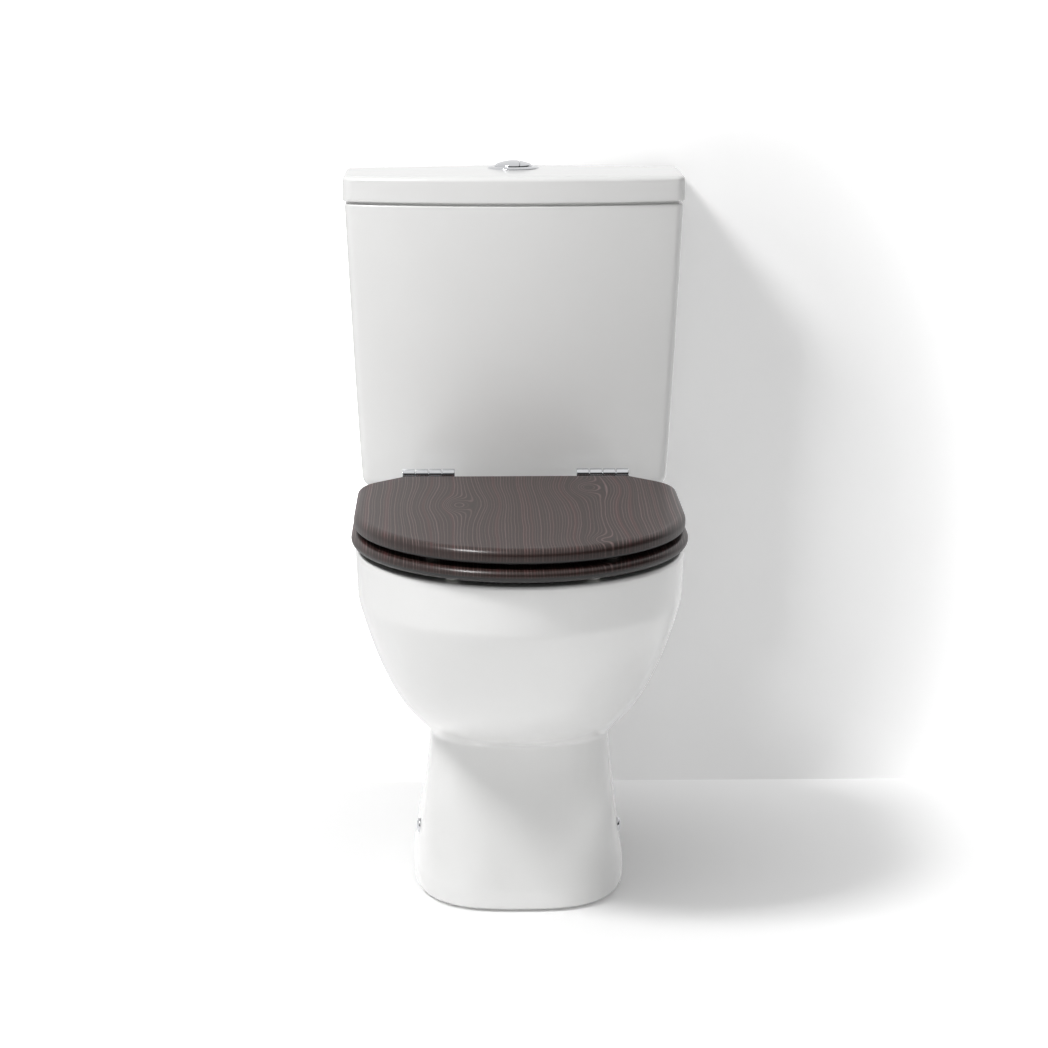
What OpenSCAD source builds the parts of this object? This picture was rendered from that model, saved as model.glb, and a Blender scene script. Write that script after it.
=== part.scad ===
// Close-coupled toilet: china pan, cistern with dual flush, and a veneered seat on chrome hinges.
// The front faces -Y, +Z is up, and the origin is on the floor under the middle of the outline.

/* [Pan] */
// Height of the rim and of the deck behind it above the floor
rim_h = 392; // [370:1:430]
// Width of the pan across its rim
rim_w = 356; // [340:1:376]
// Distance from the seat hinge axis to the front of the rim
rim_reach = 426; // [410:1:450]
// Length of the elliptical nose of the rim, from its widest line to the front
nose_len = 207; // [195:1:225]
// Height of the upright band below the rim
rim_band_h = 53; // [40:1:62]
// Draught of that band, from its top to its foot
rim_draft = 2.5; // [0:0.5:5]
// Radius of the rim's outer top edge
rim_edge_r = 7; // [4:0.5:9]
// Width of the opening inside the rim
mouth_w = 240; // [225:1:250]
// Length of the opening inside the rim
mouth_len = 316; // [290:1:330]
// Depth of the rim's inner lip
rim_lip_h = 42; // [36:1:46]
// Height of the lowest point of the bowl's outside
bowl_base_h = 178; // [170:1:184]
// Wall of the bowl
bowl_wall = 15; // [12:1:18]
// Width of the foot
foot_w = 236; // [220:1:250]
// Distance from the front of the rim back to the front of the foot
foot_setback = 135; // [120:1:150]
// Length of the foot
foot_len = 373; // [350:1:385]
// Width of the column that carries the bowl
column_w = 192; // [180:1:205]
// Distance that the column's face leans back between floor and bowl
column_lean = 27; // [15:1:35]
// Wall of the hollow foot
foot_wall = 24; // [20:1:30]
// Height of the hollow in the foot
foot_hollow_h = 88; // [70:1:92]
// Width of the deck that carries the cistern
deck_w = 236; // [228:1:250]
// Thickness of the deck
deck_t = 15; // [12:1:20]
// Height of the deck's side edge
deck_edge_h = 46; // [36:1:50]
// Distance from the back of the cistern to the back of the deck
deck_back_gap = 25; // [15:1:35]

/* [Waste] */
// Radius of the water passage through the trap
trap_r = 37; // [34:0.5:38]
// Bend radius of the trap along its middle
trap_bend_r = 60; // [56:1:64]
// Height of the middle of the outlet above the floor
outlet_h = 190; // [185:1:195]
// Outside radius of the outlet spigot
spigot_r = 51; // [50:0.5:52]
// Wall of the outlet spigot
spigot_wall = 9; // [7:0.5:12]
// Free length of the outlet spigot
spigot_len = 55; // [45:1:60]
// Distance from the back of the cistern to the end of the outlet spigot
spigot_wall_gap = 67; // [60:1:75]

/* [Cistern] */
// Distance from the seat hinge axis to the back of the cistern
hinge_setback = 217; // [212:1:230]
// Gap between the deck and the underside of the cistern
coupling_gap = 10; // [8:0.5:12]
// Height of the cistern body without its lid
cistern_h = 338; // [320:1:360]
// Width of the cistern body at its top
cistern_w = 394; // [380:1:410]
// Width of the cistern body at its bottom
cistern_base_w = 356; // [346:1:366]
// Depth of the cistern body at its middle
cistern_d = 177; // [170:1:180]
// Distance that the front bows out between corner and middle
front_bow = 33; // [20:1:40]
// Radius of the front corners
corner_r = 14; // [8:1:20]
// Wall of the cistern
cistern_wall = 11; // [9:0.5:13]
// Height of the lid
lid_h = 32; // [28:1:40]
// Distance that the lid stands out past the body all round
lid_lip = 2; // [0.5:0.5:4]
// Rise of the lid's top from its sides to its middle
lid_crown = 2; // [0:0.5:4]
// Wall of the lid
lid_wall = 11; // [9:0.5:13]
// Height of the shadow gap under the lid
shadow_gap = 2.6; // [1.5:0.1:4]
// Distance from the back of the cistern to the middle of its valves
valve_setback = 85; // [83:1:90]

/* [Seat] */
// Side overhang of the seat ring past the rim
seat_side = 4.5; // [2:0.5:8]
// Front overhang of the seat ring past the rim
seat_front = 12; // [6:1:16]
// Distance that the seat lid lies inside the ring all round
seat_lid_inset = 3; // [1:0.5:5]
// Height of the buffers under the seat ring
ring_buffer_h = 6; // [5:0.5:8]
// Thickness of the seat ring
ring_t = 13.5; // [12:0.5:16]
// Height of the buffers under the seat lid
lid_buffer_h = 5.5; // [5:0.5:7]
// Thickness of the seat lid
seat_lid_t = 16; // [14:0.5:18]
// Radius of the rounded top edge of the seat lid
bullnose_r = 8.5; // [6:0.5:9]
// Width of the hole in the seat ring
seat_hole_w = 226; // [210:1:236]
// Length of the hole in the seat ring
seat_hole_len = 300; // [280:1:312]
// Width of the seat's straight back edge
seat_back_w = 266; // [262:1:290]
// Distance from the hinge axis to the seat's back edge
seat_back_gap = 8; // [7.5:0.5:10]
// Distance from the seat's widest line back to its slanted corners
seat_side_len = 153; // [145:1:160]
// Radius of the bend between the seat's side and its slanted corner
seat_corner_r = 70; // [40:1:80]

/* [Hinges] */
// Distance between the two seat bolts
bolt_pitch = 155; // [140:1:160]
// Radius of the hinge knuckles
knuckle_r = 6.5; // [6:0.1:7]
// Length of one hinge knuckle
knuckle_len = 14.4; // [12:0.1:14.6]
// Gap between two hinge knuckles
knuckle_gap = 0.9; // [0.4:0.1:1.5]
// Radius of the hinge pin
pin_r = 3; // [2.5:0.1:3.5]
// Radial clearance of the hinge pin
pin_clear = 0.06; // [0.03:0.01:0.1]
// Distance from the top of the seat lid down to the hinge axis
axis_drop = 1; // [0:0.5:2]
// Thickness of the hinge leaves
leaf_t = 1.8; // [1.4:0.1:2]
// Length of the hinge leaves under the seat
leaf_len = 46; // [36:1:50]
// Radius of the seat bolts
seat_bolt_r = 4; // [3:0.5:5]
// Radius of the holes for the seat bolts in the deck
seat_bolt_hole_r = 8; // [7:0.5:9]
// Length of the seat bolts below the deck's top
seat_bolt_len = 62; // [55:1:70]

/* [Flush] */
// Radius of the chrome button flange
bezel_r = 30.5; // [28:0.5:34]
// Radius of the pair of flush buttons
button_r = 21.5; // [18:0.5:23]
// Height of the buttons above the lid
button_rise = 9; // [6:0.5:11]
// Travel of the flush buttons
button_travel = 8; // [6:0.5:9]
// Lift of the flush piston
piston_lift = 22; // [15:1:26]
// Radius of the flush valve's threaded tail
valve_tail_r = 29.8; // [28:0.1:31]
// Radius of the coupling bolts
coupling_bolt_r = 4; // [3:0.5:5]
// Distance between the two coupling bolts
coupling_pitch = 150; // [146:1:160]
// Radius of the fill valve's threaded tail
inlet_r = 10.4; // [10:0.1:10.6]
// Distance from the middle to the fill valve
inlet_x = 138; // [136:1:142]
// Height of the fill valve's head above the cistern's floor
fill_head_h = 255; // [230:1:265]

/* [Fixings] */
// Distance from the front of the foot back to the side screws
side_screw_back = 128; // [110:1:150]
// Height of the side screws above the floor
side_screw_h = 60; // [50:1:64]
// Radius of the side screws
side_screw_r = 3; // [2.5:0.5:4]
// Radius of the chrome caps on the side screws
cap_r = 8.5; // [7:0.5:10]
// Distance between the wall screw holes in the cistern's back
wall_screw_pitch = 220; // [180:1:260]
// Radius of the wall screw holes
wall_screw_r = 4; // [3:0.5:5]

/* [Hidden] */

$fn = 64;
// Small gap between pieces that meet but do not bear on each other
seat_gap = 0.3;
// Radial clearance of a bolt in a hole of another piece
hole_clear = 0.5;
// Overlap of a cutting shape past the face that it cuts
cut = 1;
// Points round each section of the lofted china and of the seat
ring_points = 56;
// Steps of the search that finds where a ray leaves the china
search_steps = 16;

// Length of the bowl behind its widest line, as a share of its nose
bowl_back_share = 0.92;
// Distances behind the bowl's widest line of the column, the loft's upright line, the spine and the deck
column_offset = 46;
loft_offset = 61;
spine_nose = 60;
deck_nose = 100;
// Fillets between bowl and column, and of both against the spine and the deck
column_fillet = 8;
spine_fillet = 30;
deck_fillet = 60;

// Places along Y: the hinge axis, the back of the cistern and the widest line of the bowl
overall_d = hinge_setback + rim_reach + seat_front;
back_y = overall_d / 2;
hinge_y = back_y - hinge_setback;
rim_front_y = hinge_y - rim_reach;
bowl_y = rim_front_y + nose_len;
valve_y = back_y - valve_setback;
foot_front_y = rim_front_y + foot_setback;
foot_back_y = foot_front_y + foot_len;
deck_back_y = back_y - deck_back_gap;
spigot_end_y = back_y - spigot_wall_gap;
spine_back_y = spigot_end_y - spigot_len;
column_y = bowl_y + column_offset;
loft_y = bowl_y + loft_offset;
spine_y = bowl_y + spine_nose;
deck_y = bowl_y + deck_nose;

// Heights
crease_h = rim_h - rim_band_h;
cistern_z = rim_h + coupling_gap;
cistern_top = cistern_z + cistern_h;
cistern_floor = cistern_z + cistern_wall + 1;
cistern_step_z = cistern_top - shadow_gap;
lid_z = cistern_top + seat_gap;
lid_top = lid_z + lid_h;
ring_z = rim_h + ring_buffer_h;
ring_top = ring_z + ring_t;
seat_lid_z = ring_top + lid_buffer_h;
seat_lid_top = seat_lid_z + seat_lid_t;
axis_z = seat_lid_top - axis_drop;
deck_under = rim_h - deck_t;

// General shapes and blends

function blend(a, b, t) = a + (b - a) * t;
function clamp01(t) = min(1, max(0, t));
function ease(t) = let (s = clamp01(t)) s * s * (3 - 2 * s);

// Distance from the centre of a superellipse to its edge in one direction
function oval_r(angle, half_w, half_l, power) =
  pow(pow(abs(cos(angle)) / half_w, power) + pow(abs(sin(angle)) / half_l, power), -1 / power);

// How far a point lies outside a plan oval that has different fronts and backs
function outside(p, middle_y, half_w, front_l, back_l, front_p, back_p) =
  let (dy = p.y - middle_y, ahead = dy < 0)
  norm([p.x, dy]) - oval_r(atan2(dy, p.x), half_w, ahead ? front_l : back_l, ahead ? front_p : back_p);

// The smaller of two distances, with a fillet of about this size where they are alike
function fillet_min(a, b, size) =
  let (h = max(size - abs(a - b), 0) / size) min(a, b) - h * h * size / 4;

// Triangles between neighbouring rings of a loft, and the fans that close its two ends
function loft_faces(rings, points) = [
  for (i = [0:rings - 2]) for (j = [0:points - 1])
    let (a = i * points + j, b = i * points + (j + 1) % points)
      each [[a, b + points, b], [a, a + points, b + points]]
];
function end_faces(rings, points) = [
  for (j = [0:points - 1])
    let (k = (j + 1) % points, last = (rings - 1) * points, hub = rings * points)
    each [[hub, j, k], [hub + 1, last + k, last + j]]
];

// Closed solid through a list of rings, with a hub point at each end
module loft(rings, first_hub, last_hub) {
  polyhedron(
    points = [for (ring = rings) each ring, first_hub, last_hub],
    faces = concat(loft_faces(len(rings), len(rings[0])), end_faces(len(rings), len(rings[0]))),
    convexity = 10
  );
}

// Closed tube through a list of rings, whose last ring meets its first
module closed_loft(rings) {
  n = len(rings);
  m = len(rings[0]);
  polyhedron(
    points = [for (ring = rings) each ring],
    faces = [
      for (i = [0:n - 1]) for (j = [0:m - 1])
        let (a = i * m + j, b = i * m + (j + 1) % m,
          c = ((i + 1) % n) * m + j, d = ((i + 1) % n) * m + (j + 1) % m)
        each [[a, d, b], [a, c, d]]
    ],
    convexity = 10
  );
}

module tube(outer, inner, h) {
  difference() {
    cylinder(r = outer, h = h);
    translate([0, 0, -cut]) cylinder(r = inner, h = h + 2 * cut);
  }
}

// Cylinder lying along X, from the given X
module bar_x(r, x, len) {
  translate([x, 0, 0]) rotate([0, 90, 0]) cylinder(r = r, h = len);
}

// The same shape at the right and, mirrored, at the left
module both_sides() {
  children();
  mirror([1, 0, 0]) children();
}

// Pan

// Half width of the bowl: nearly upright above the crease, a fourth root of the height below it
function bowl_rise(z) = clamp01((z - bowl_base_h) / (crease_h - bowl_base_h));
function bowl_half_w(z) =
  let (foot = rim_w / 2 - rim_draft)
  z > crease_h ? blend(foot, rim_w / 2, (z - crease_h) / rim_band_h) : foot * pow(bowl_rise(z), 0.25);
function bowl_half_l(z) =
  let (foot = nose_len - rim_draft)
  z > crease_h ? blend(foot, nose_len, (z - crease_h) / rim_band_h) : foot * pow(bowl_rise(z), 0.4);

// The foot tapers into the column
column_from_h = 20;
column_to_h = bowl_base_h + 22;
function column_t(z) = 1 - pow(1 - clamp01((z - column_from_h) / (column_to_h - column_from_h)), 1.3);
function pedestal_half_w(z) = blend(foot_w, column_w, column_t(z)) / 2;
function pedestal_front(z) = foot_front_y + column_lean * column_t(z);
function pedestal_y(z) = blend((foot_front_y + foot_back_y) / 2, column_y, ease((z - 40) / 80));
function pedestal_back(z) = blend(foot_back_y, column_y + column_w / 2, ease((z - 40) / 80));
function pedestal_power(z) = blend(3, 4.5, ease((z - 20) / 120));

// The trap runs in a spine behind the column, up to the deck
spine_half_w = trap_r + 17;
// The spine's back draws in above the trap's weir
spine_draw = 30;
spine_draw_h = bowl_base_h + 72;
deck_blend_h = 30;

function china_outside(p, z) =
  let (
    bowl = z > bowl_base_h + 0.2
      ? outside(p, bowl_y, bowl_half_w(z), bowl_half_l(z), bowl_half_l(z) * bowl_back_share, 2, 2.6) : 1000,
    column = z < column_to_h + 40
      ? outside(
          p, pedestal_y(z), pedestal_half_w(z), pedestal_y(z) - pedestal_front(z),
          pedestal_back(z) - pedestal_y(z), pedestal_power(z), pedestal_power(z)
        ) : 1000,
    spine = outside(
      p, spine_y, spine_half_w, spine_nose,
      spine_back_y - spine_y - spine_draw * ease((z - spine_draw_h) / 60), 2, 7
    ),
    deck_t01 = ease((z - (rim_h - deck_edge_h - deck_blend_h)) / deck_blend_h),
    deck = outside(
      p, deck_y, blend(spine_half_w, deck_w / 2, deck_t01), deck_nose,
      blend(spine_back_y - spine_draw, deck_back_y, deck_t01) - deck_y, 2, 9
    )
  )
  fillet_min(fillet_min(fillet_min(bowl, column, column_fillet), spine, spine_fillet), deck, deck_fillet);

// Distance from the loft's upright line to the china's face, found by halving
function ray_length(angle, z, low = 0, high = overall_d, steps = search_steps) =
  let (mid = (low + high) / 2)
  steps == 0 ? mid
  : china_outside([mid * cos(angle), loft_y + mid * sin(angle)], z) < 0
    ? ray_length(angle, z, mid, high, steps - 1)
    : ray_length(angle, z, low, mid, steps - 1);

// One ring of the outside at a height, drawn in by an inset
function china_ring(z, inset = 0, lift = undef) = [
  for (j = [0:ring_points - 1])
    let (angle = 360 * j / ring_points, r = ray_length(angle, z) - inset)
    [r * cos(angle), loft_y + r * sin(angle), is_undef(lift) ? z : lift]
];

function ellipse_ring(middle_y, half_w, front_l, back_l, z) = [
  for (j = [0:ring_points - 1])
    let (angle = 360 * j / ring_points)
    [half_w * cos(angle), middle_y + (angle > 180 ? front_l : back_l) * sin(angle), z]
];

// Ring across the trap: centre, and the direction in which the water runs there
function trap_ring(y, z, slope) = [
  for (j = [0:ring_points - 1])
    let (angle = 360 * j / ring_points, side = trap_r * sin(angle))
    [trap_r * cos(angle), y - side * sin(slope), z + side * cos(slope)]
];

// The water runs from the sump down an elbow, up over the weir and down again to the outlet
sump_offset = 16;
sump_y = bowl_y + sump_offset;
elbow_r = 45;
trap_dip = 45;
water_seal_rise = 79;
trap_dip_h = outlet_h - trap_dip;
trap_crest_h = outlet_h + water_seal_rise;
trap_rise_angle = 75;
trap_fall_angle = acos(1 - (trap_crest_h - outlet_h) / (2 * trap_bend_r));
rise_y = sump_y + elbow_r;
rise_len = (trap_crest_h - trap_dip_h - 2 * trap_bend_r * (1 - cos(trap_rise_angle))) / sin(trap_rise_angle);
crest_y = rise_y + 2 * trap_bend_r * sin(trap_rise_angle) + rise_len * cos(trap_rise_angle);
outlet_y = crest_y + 2 * trap_bend_r * sin(trap_fall_angle);

function trap_rings() = [
  for (a = [18:18:72])
    trap_ring(sump_y + elbow_r * (1 - cos(a)), trap_dip_h + elbow_r * (1 - sin(a)), a - 90),
  for (a = [0:15:trap_rise_angle])
    trap_ring(rise_y + trap_bend_r * sin(a), trap_dip_h + trap_bend_r * (1 - cos(a)), a),
  for (a = [trap_rise_angle:-15:0])
    trap_ring(crest_y - trap_bend_r * sin(a), trap_crest_h - trap_bend_r * (1 - cos(a)), a),
  for (i = [1:4])
    let (a = trap_fall_angle * i / 4)
    trap_ring(crest_y + trap_bend_r * sin(a), trap_crest_h - trap_bend_r * (1 - cos(a)), -a),
  for (i = [3:-1:0])
    let (a = trap_fall_angle * i / 4)
    trap_ring(outlet_y - trap_bend_r * sin(a), outlet_h + trap_bend_r * (1 - cos(a)), -a)
];

// The bowl's inside keeps its wall below the rim and closes to the sump's round mouth
sump_h = trap_dip_h + elbow_r;
sump_from_h = sump_h + 50;
weir_wall = 10;
// Length of the bowl's inside behind its widest line, kept in front of the weir by a wall
function bowl_inner_back(z) =
  let (drop = z - trap_crest_h + trap_bend_r, reach = trap_bend_r + trap_r + weir_wall)
  min(
    bowl_half_l(z) * bowl_back_share - bowl_wall,
    crest_y - bowl_y - sqrt(max(0, reach * reach - drop * drop))
  );
function bowl_inner_ring(z) =
  let (t = ease((sump_from_h - z) / (sump_from_h - sump_h)))
  ellipse_ring(
    blend(bowl_y, sump_y, t), blend(bowl_half_w(z) - bowl_wall, trap_r, t),
    blend(bowl_half_l(z) - bowl_wall, trap_r, t), blend(bowl_inner_back(z), trap_r, t), z
  );

// The rim's inner lip hangs over a flush channel that is open below
lip_t = 9;
rim_roof_t = 12;
mouth_edge_r = 5;
function mouth_ring(z, out = 0) =
  ellipse_ring(bowl_y, mouth_w / 2 + out, mouth_len / 2 + out, mouth_len / 2 + out, z);

outer_levels = [
  0, 3, 12, 24, 36, 48, 60, 74, 90, 108, 128, 148, 166,
  bowl_base_h, bowl_base_h + 1.5, bowl_base_h + 4, bowl_base_h + 8, bowl_base_h + 14, bowl_base_h + 22,
  bowl_base_h + 34, bowl_base_h + 48, bowl_base_h + 64, bowl_base_h + 82, bowl_base_h + 102
];
deck_levels = [for (t = [0:0.2:1]) rim_h - deck_edge_h - deck_blend_h * (1 - t)];
inner_levels = [
  crease_h - 4, crease_h - 22, crease_h - 30, crease_h - 42, crease_h - 58, crease_h - 76, crease_h - 94,
  sump_h + 36, sump_h + 22, sump_h + 10
];
foot_edge_r = 3;

function pan_rings() = concat(
  [for (z = outer_levels) china_ring(z, z == 0 ? foot_edge_r : 0)],
  [for (z = deck_levels) china_ring(max(z, bowl_base_h + 110))],
  [china_ring(rim_h - rim_edge_r)],
  [for (a = [30:30:90])
    china_ring(rim_h - rim_edge_r, rim_edge_r * (1 - cos(a)), rim_h - rim_edge_r * (1 - sin(a)))],
  [mouth_ring(rim_h, mouth_edge_r), mouth_ring(rim_h - 1.5, 1.5), mouth_ring(rim_h - mouth_edge_r)],
  [mouth_ring(rim_h - rim_lip_h + 2), mouth_ring(rim_h - rim_lip_h, 2),
    mouth_ring(rim_h - rim_lip_h, lip_t - 1)],
  [mouth_ring(rim_h - rim_lip_h + 1, lip_t), mouth_ring(rim_h - rim_roof_t - 4, lip_t)],
  [mouth_ring(rim_h - rim_roof_t, lip_t + 3)],
  [ellipse_ring(
    bowl_y, rim_w / 2 - bowl_wall - 6, nose_len - bowl_wall - 6,
    nose_len * bowl_back_share - bowl_wall - 3, rim_h - rim_roof_t
  )],
  [ellipse_ring(
    bowl_y, rim_w / 2 - bowl_wall - 2, nose_len - bowl_wall - 2,
    nose_len * bowl_back_share - bowl_wall - 1, rim_h - rim_roof_t - 4
  )],
  [for (z = inner_levels) bowl_inner_ring(z)],
  [ellipse_ring(sump_y, trap_r, trap_r, trap_r, sump_h)],
  trap_rings()
);

// Deck pockets beside the spine, in which the wing nuts are turned
pocket_x = spine_half_w + 2;
pocket_front_y = hinge_y - 25;
pocket_back_y = deck_back_y - 34;
deck_wall = 14;
module deck_pocket() {
  translate([pocket_x, pocket_front_y, rim_h - deck_edge_h - deck_blend_h - cut])
    cube([deck_w / 2 - deck_wall - pocket_x, pocket_back_y - pocket_front_y,
      deck_edge_h + deck_blend_h + cut - deck_t]);
}

// Block with two round corners at its front or back end, for the hollow under the foot
hollow_corner_r = 60;
module hollow_block(near_y, far_y, h) {
  half_w = foot_w / 2 - foot_wall;
  side = near_y < far_y ? 1 : -1;
  translate([0, near_y, -cut]) linear_extrude(h + cut) {
    translate([-half_w, min(0, side * (abs(far_y - near_y) - hollow_corner_r))])
      square([2 * half_w, abs(far_y - near_y) - hollow_corner_r]);
    translate([hollow_corner_r - half_w, min(0, far_y - near_y)])
      square([2 * (half_w - hollow_corner_r), abs(far_y - near_y)]);
    for (x = [-1, 1]) translate([x * (half_w - hollow_corner_r), far_y - near_y - side * hollow_corner_r])
      circle(r = hollow_corner_r);
  }
}
hollow_front_len = 200;
hollow_split_y = foot_front_y + hollow_front_len;
hollow_back_h = 36;

// The spine behind the column is hollow below the trap
spine_wall = 14;
module spine_hollow(from_y, top_h) {
  translate([spine_wall - spine_half_w, from_y, -cut])
    cube([2 * (spine_half_w - spine_wall), spine_back_y - 2 * spine_wall - from_y, top_h + cut]);
}

// The spigot starts inside the spine and leaves it through a low sloping collar
spigot_root = 40;
spigot_collar_out = 6;
spigot_collar_r = spigot_r + spigot_collar_out;

seal_pocket_r = valve_tail_r + 17.7;
seal_pocket_d = 22;
throat_r = 26;
throat_depth = 44;
feed_r = 13;
feed_h = rim_h - 31;
coupling_hole_r = coupling_bolt_r + 2;
side_screw_y = foot_front_y + side_screw_back;
side_hole_r = side_screw_r + hole_clear;
cap_sink = 0.8;
cap_seat_x = let (z = side_screw_h, l = pedestal_y(z) - pedestal_front(z), n = pedestal_power(z))
  pedestal_half_w(z) * pow(1 - pow((pedestal_y(z) - side_screw_y) / l, n), 1 / n) - cap_sink;
bracket_x = foot_w / 2 - foot_wall;

module pan() {
  color("white") difference() {
    union() {
      loft(pan_rings(), [0, loft_y, 0], [0, outlet_y, outlet_h]);
      translate([0, spine_back_y - spigot_root, outlet_h]) rotate([-90, 0, 0]) {
        cylinder(r = spigot_r, h = spigot_len + spigot_root);
        cylinder(r = spigot_collar_r, h = spigot_root);
        translate([0, 0, spigot_root])
          cylinder(r1 = spigot_collar_r, r2 = spigot_r - cut, h = spigot_collar_out + cut);
      }
    }
    translate([0, outlet_y - cut, outlet_h]) rotate([-90, 0, 0])
      cylinder(r = spigot_r - spigot_wall, h = spigot_end_y - outlet_y + 2 * cut);
    both_sides() deck_pocket();
    hollow_block(hollow_split_y, foot_front_y + foot_wall, foot_hollow_h);
    hollow_block(hollow_split_y - cut, foot_back_y - foot_wall, hollow_back_h);
    spine_hollow(hollow_split_y, trap_dip_h - trap_r + 4);
    spine_hollow(rise_y + trap_bend_r + trap_r, outlet_h - trap_r - 17);
    translate([0, valve_y, rim_h - seal_pocket_d]) cylinder(r = seal_pocket_r, h = seal_pocket_d + cut);
    translate([0, valve_y, rim_h - throat_depth]) cylinder(r = throat_r, h = throat_depth);
    translate([0, bowl_y + nose_len * bowl_back_share - bowl_wall - 3, feed_h]) rotate([-90, 0, 0])
      cylinder(r = feed_r, h = valve_y - bowl_y - nose_len * bowl_back_share + bowl_wall);
    for (x = [-1, 1]) {
      translate([x * bolt_pitch / 2, hinge_y, deck_under - cut])
        cylinder(r = seat_bolt_hole_r, h = deck_t + 2 * cut);
      translate([x * coupling_pitch / 2, valve_y, deck_under - cut])
        cylinder(r = coupling_hole_r, h = deck_t + 2 * cut);
    }
    both_sides() translate([0, side_screw_y, side_screw_h]) {
      bar_x(side_hole_r, bracket_x - cut, foot_wall + 2 * cut);
      bar_x(cap_r + seat_gap, cap_seat_x, foot_w / 2);
    }
  }
}

// Cistern

// Right half of the cistern's plan from the front's middle round to the back's middle
back_corner_r = 8;
function cistern_half(half_w, front_y, rear_y, r) =
  let (
    bow_r = (half_w * half_w + front_bow * front_bow) / (2 * front_bow), bow_y = front_y + bow_r,
    turn = asin((half_w - r) / (bow_r - r)),
    corner_y = bow_y - (bow_r - r) * cos(turn), rb = min(r, back_corner_r)
  )
  concat(
    [for (i = [0:6]) let (a = turn * i / 6) [bow_r * sin(a), bow_y - bow_r * cos(a)]],
    [for (i = [1:4]) let (a = turn + (90 - turn) * i / 4) [half_w - r + r * sin(a), corner_y - r * cos(a)]],
    [for (i = [0:3]) let (a = 30 * i) [half_w - rb + rb * cos(a), rear_y - rb + rb * sin(a)]],
    [[0, rear_y]]
  );

// Mirrors a half outline to the left and lifts it; the points on the middle line are kept once
function both_halves(half, z) = [
  for (p = half) [p.x, p.y, z],
  for (i = [len(half) - 2:-1:1]) [-half[i].x, half[i].y, z]
];

// One ring of the cistern, drawn in by an inset
function cistern_half_w(z) =
  blend(cistern_base_w, cistern_w, pow(clamp01((z - cistern_z) / cistern_h), 0.85)) / 2;
function cistern_ring(z, inset) = both_halves(
  cistern_half(
    cistern_half_w(z) - inset, back_y - lid_lip - cistern_d + inset,
    back_y - lid_lip - inset, max(corner_r - inset, 3)
  ), z
);
cistern_neck = 5;
cistern_foot_r = 14;
cistern_steps = 7;

function cistern_rings() = concat(
  [for (a = [0:30:90])
    cistern_ring(cistern_z + cistern_foot_r * (1 - cos(a)), cistern_foot_r * (1 - sin(a)))],
  [for (i = [1:cistern_steps - 1])
    cistern_ring(blend(cistern_z + cistern_foot_r, cistern_step_z, i / cistern_steps), 0)],
  [cistern_ring(cistern_step_z - 1.5, 0), cistern_ring(cistern_step_z, 1.5),
    cistern_ring(cistern_step_z, cistern_neck)],
  [cistern_ring(cistern_top, cistern_neck), cistern_ring(cistern_top, cistern_wall)],
  [for (i = [cistern_steps - 1:-1:1])
    cistern_ring(blend(cistern_floor + 12, cistern_top, i / cistern_steps), cistern_wall)],
  [cistern_ring(cistern_floor + 12, cistern_wall), cistern_ring(cistern_floor + 4, cistern_wall + 3)],
  [cistern_ring(cistern_floor, cistern_wall + 12)]
);
valve_hole_r = valve_tail_r + 1.2;
inlet_hole_r = inlet_r + 0.8;
wall_screw_z = cistern_top - 90;

module cistern() {
  color("white") difference() {
    loft(cistern_rings(), [0, valve_y, cistern_z], [0, valve_y, cistern_floor]);
    translate([0, valve_y, cistern_z - cut]) {
      cylinder(r = valve_hole_r, h = cistern_floor - cistern_z + 2 * cut);
      translate([-inlet_x, 0, 0]) cylinder(r = inlet_hole_r, h = cistern_floor - cistern_z + 2 * cut);
      for (x = [-1, 1]) translate([x * coupling_pitch / 2, 0, 0])
        cylinder(r = coupling_hole_r, h = cistern_floor - cistern_z + 2 * cut);
    }
    for (x = [-1, 1]) translate([x * wall_screw_pitch / 2, back_y + cut, wall_screw_z]) rotate([90, 0, 0])
      cylinder(r = wall_screw_r, h = lid_lip + cistern_wall + 2 * cut);
  }
}

// The lid: a shell with a locating rib inside its skirt and a slightly crowned top
lid_edge_r = 5;
lid_rib_h = 6;
lid_half_w = cistern_w / 2 + lid_lip;
lid_front_y = back_y - 2 * lid_lip - cistern_d;
function lid_half(inset) = cistern_half(
  lid_half_w - inset, lid_front_y + inset, back_y - inset, max(corner_r + lid_lip - inset, 2)
);
function lid_ring(z, inset, crown = 0) = [
  for (p = both_halves(lid_half(inset), z))
    [p.x, p.y, p.z - crown * (p.x / lid_half_w) * (p.x / lid_half_w)]
];
rib_inset = lid_lip + cistern_wall + 1.5;
rib_t = 6;
lid_hole_r = button_r + 3;

function lid_rings() = concat(
  [lid_ring(lid_top - lid_wall, 60), lid_ring(lid_top - lid_wall, rib_inset + rib_t + 4)],
  [lid_ring(lid_top - lid_wall - 4, rib_inset + rib_t), lid_ring(lid_z - lid_rib_h, rib_inset + rib_t)],
  [lid_ring(lid_z - lid_rib_h, rib_inset), lid_ring(lid_z, rib_inset),
    lid_ring(lid_z, 1.5), lid_ring(lid_z + 1.5, 0)],
  [for (a = [0:22.5:90])
    lid_ring(lid_top - lid_edge_r * (1 - sin(a)), lid_edge_r * (1 - cos(a)), lid_crown)],
  [for (inset = [30, 60]) lid_ring(lid_top, inset, lid_crown)]
);

module cistern_lid() {
  color("white") difference() {
    loft(lid_rings(), [0, valve_y, lid_top - lid_wall], [0, valve_y, lid_top]);
    translate([0, valve_y, lid_top - lid_wall - cut]) cylinder(r = lid_hole_r, h = lid_wall + 2 * cut);
  }
}

// Seat

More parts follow.
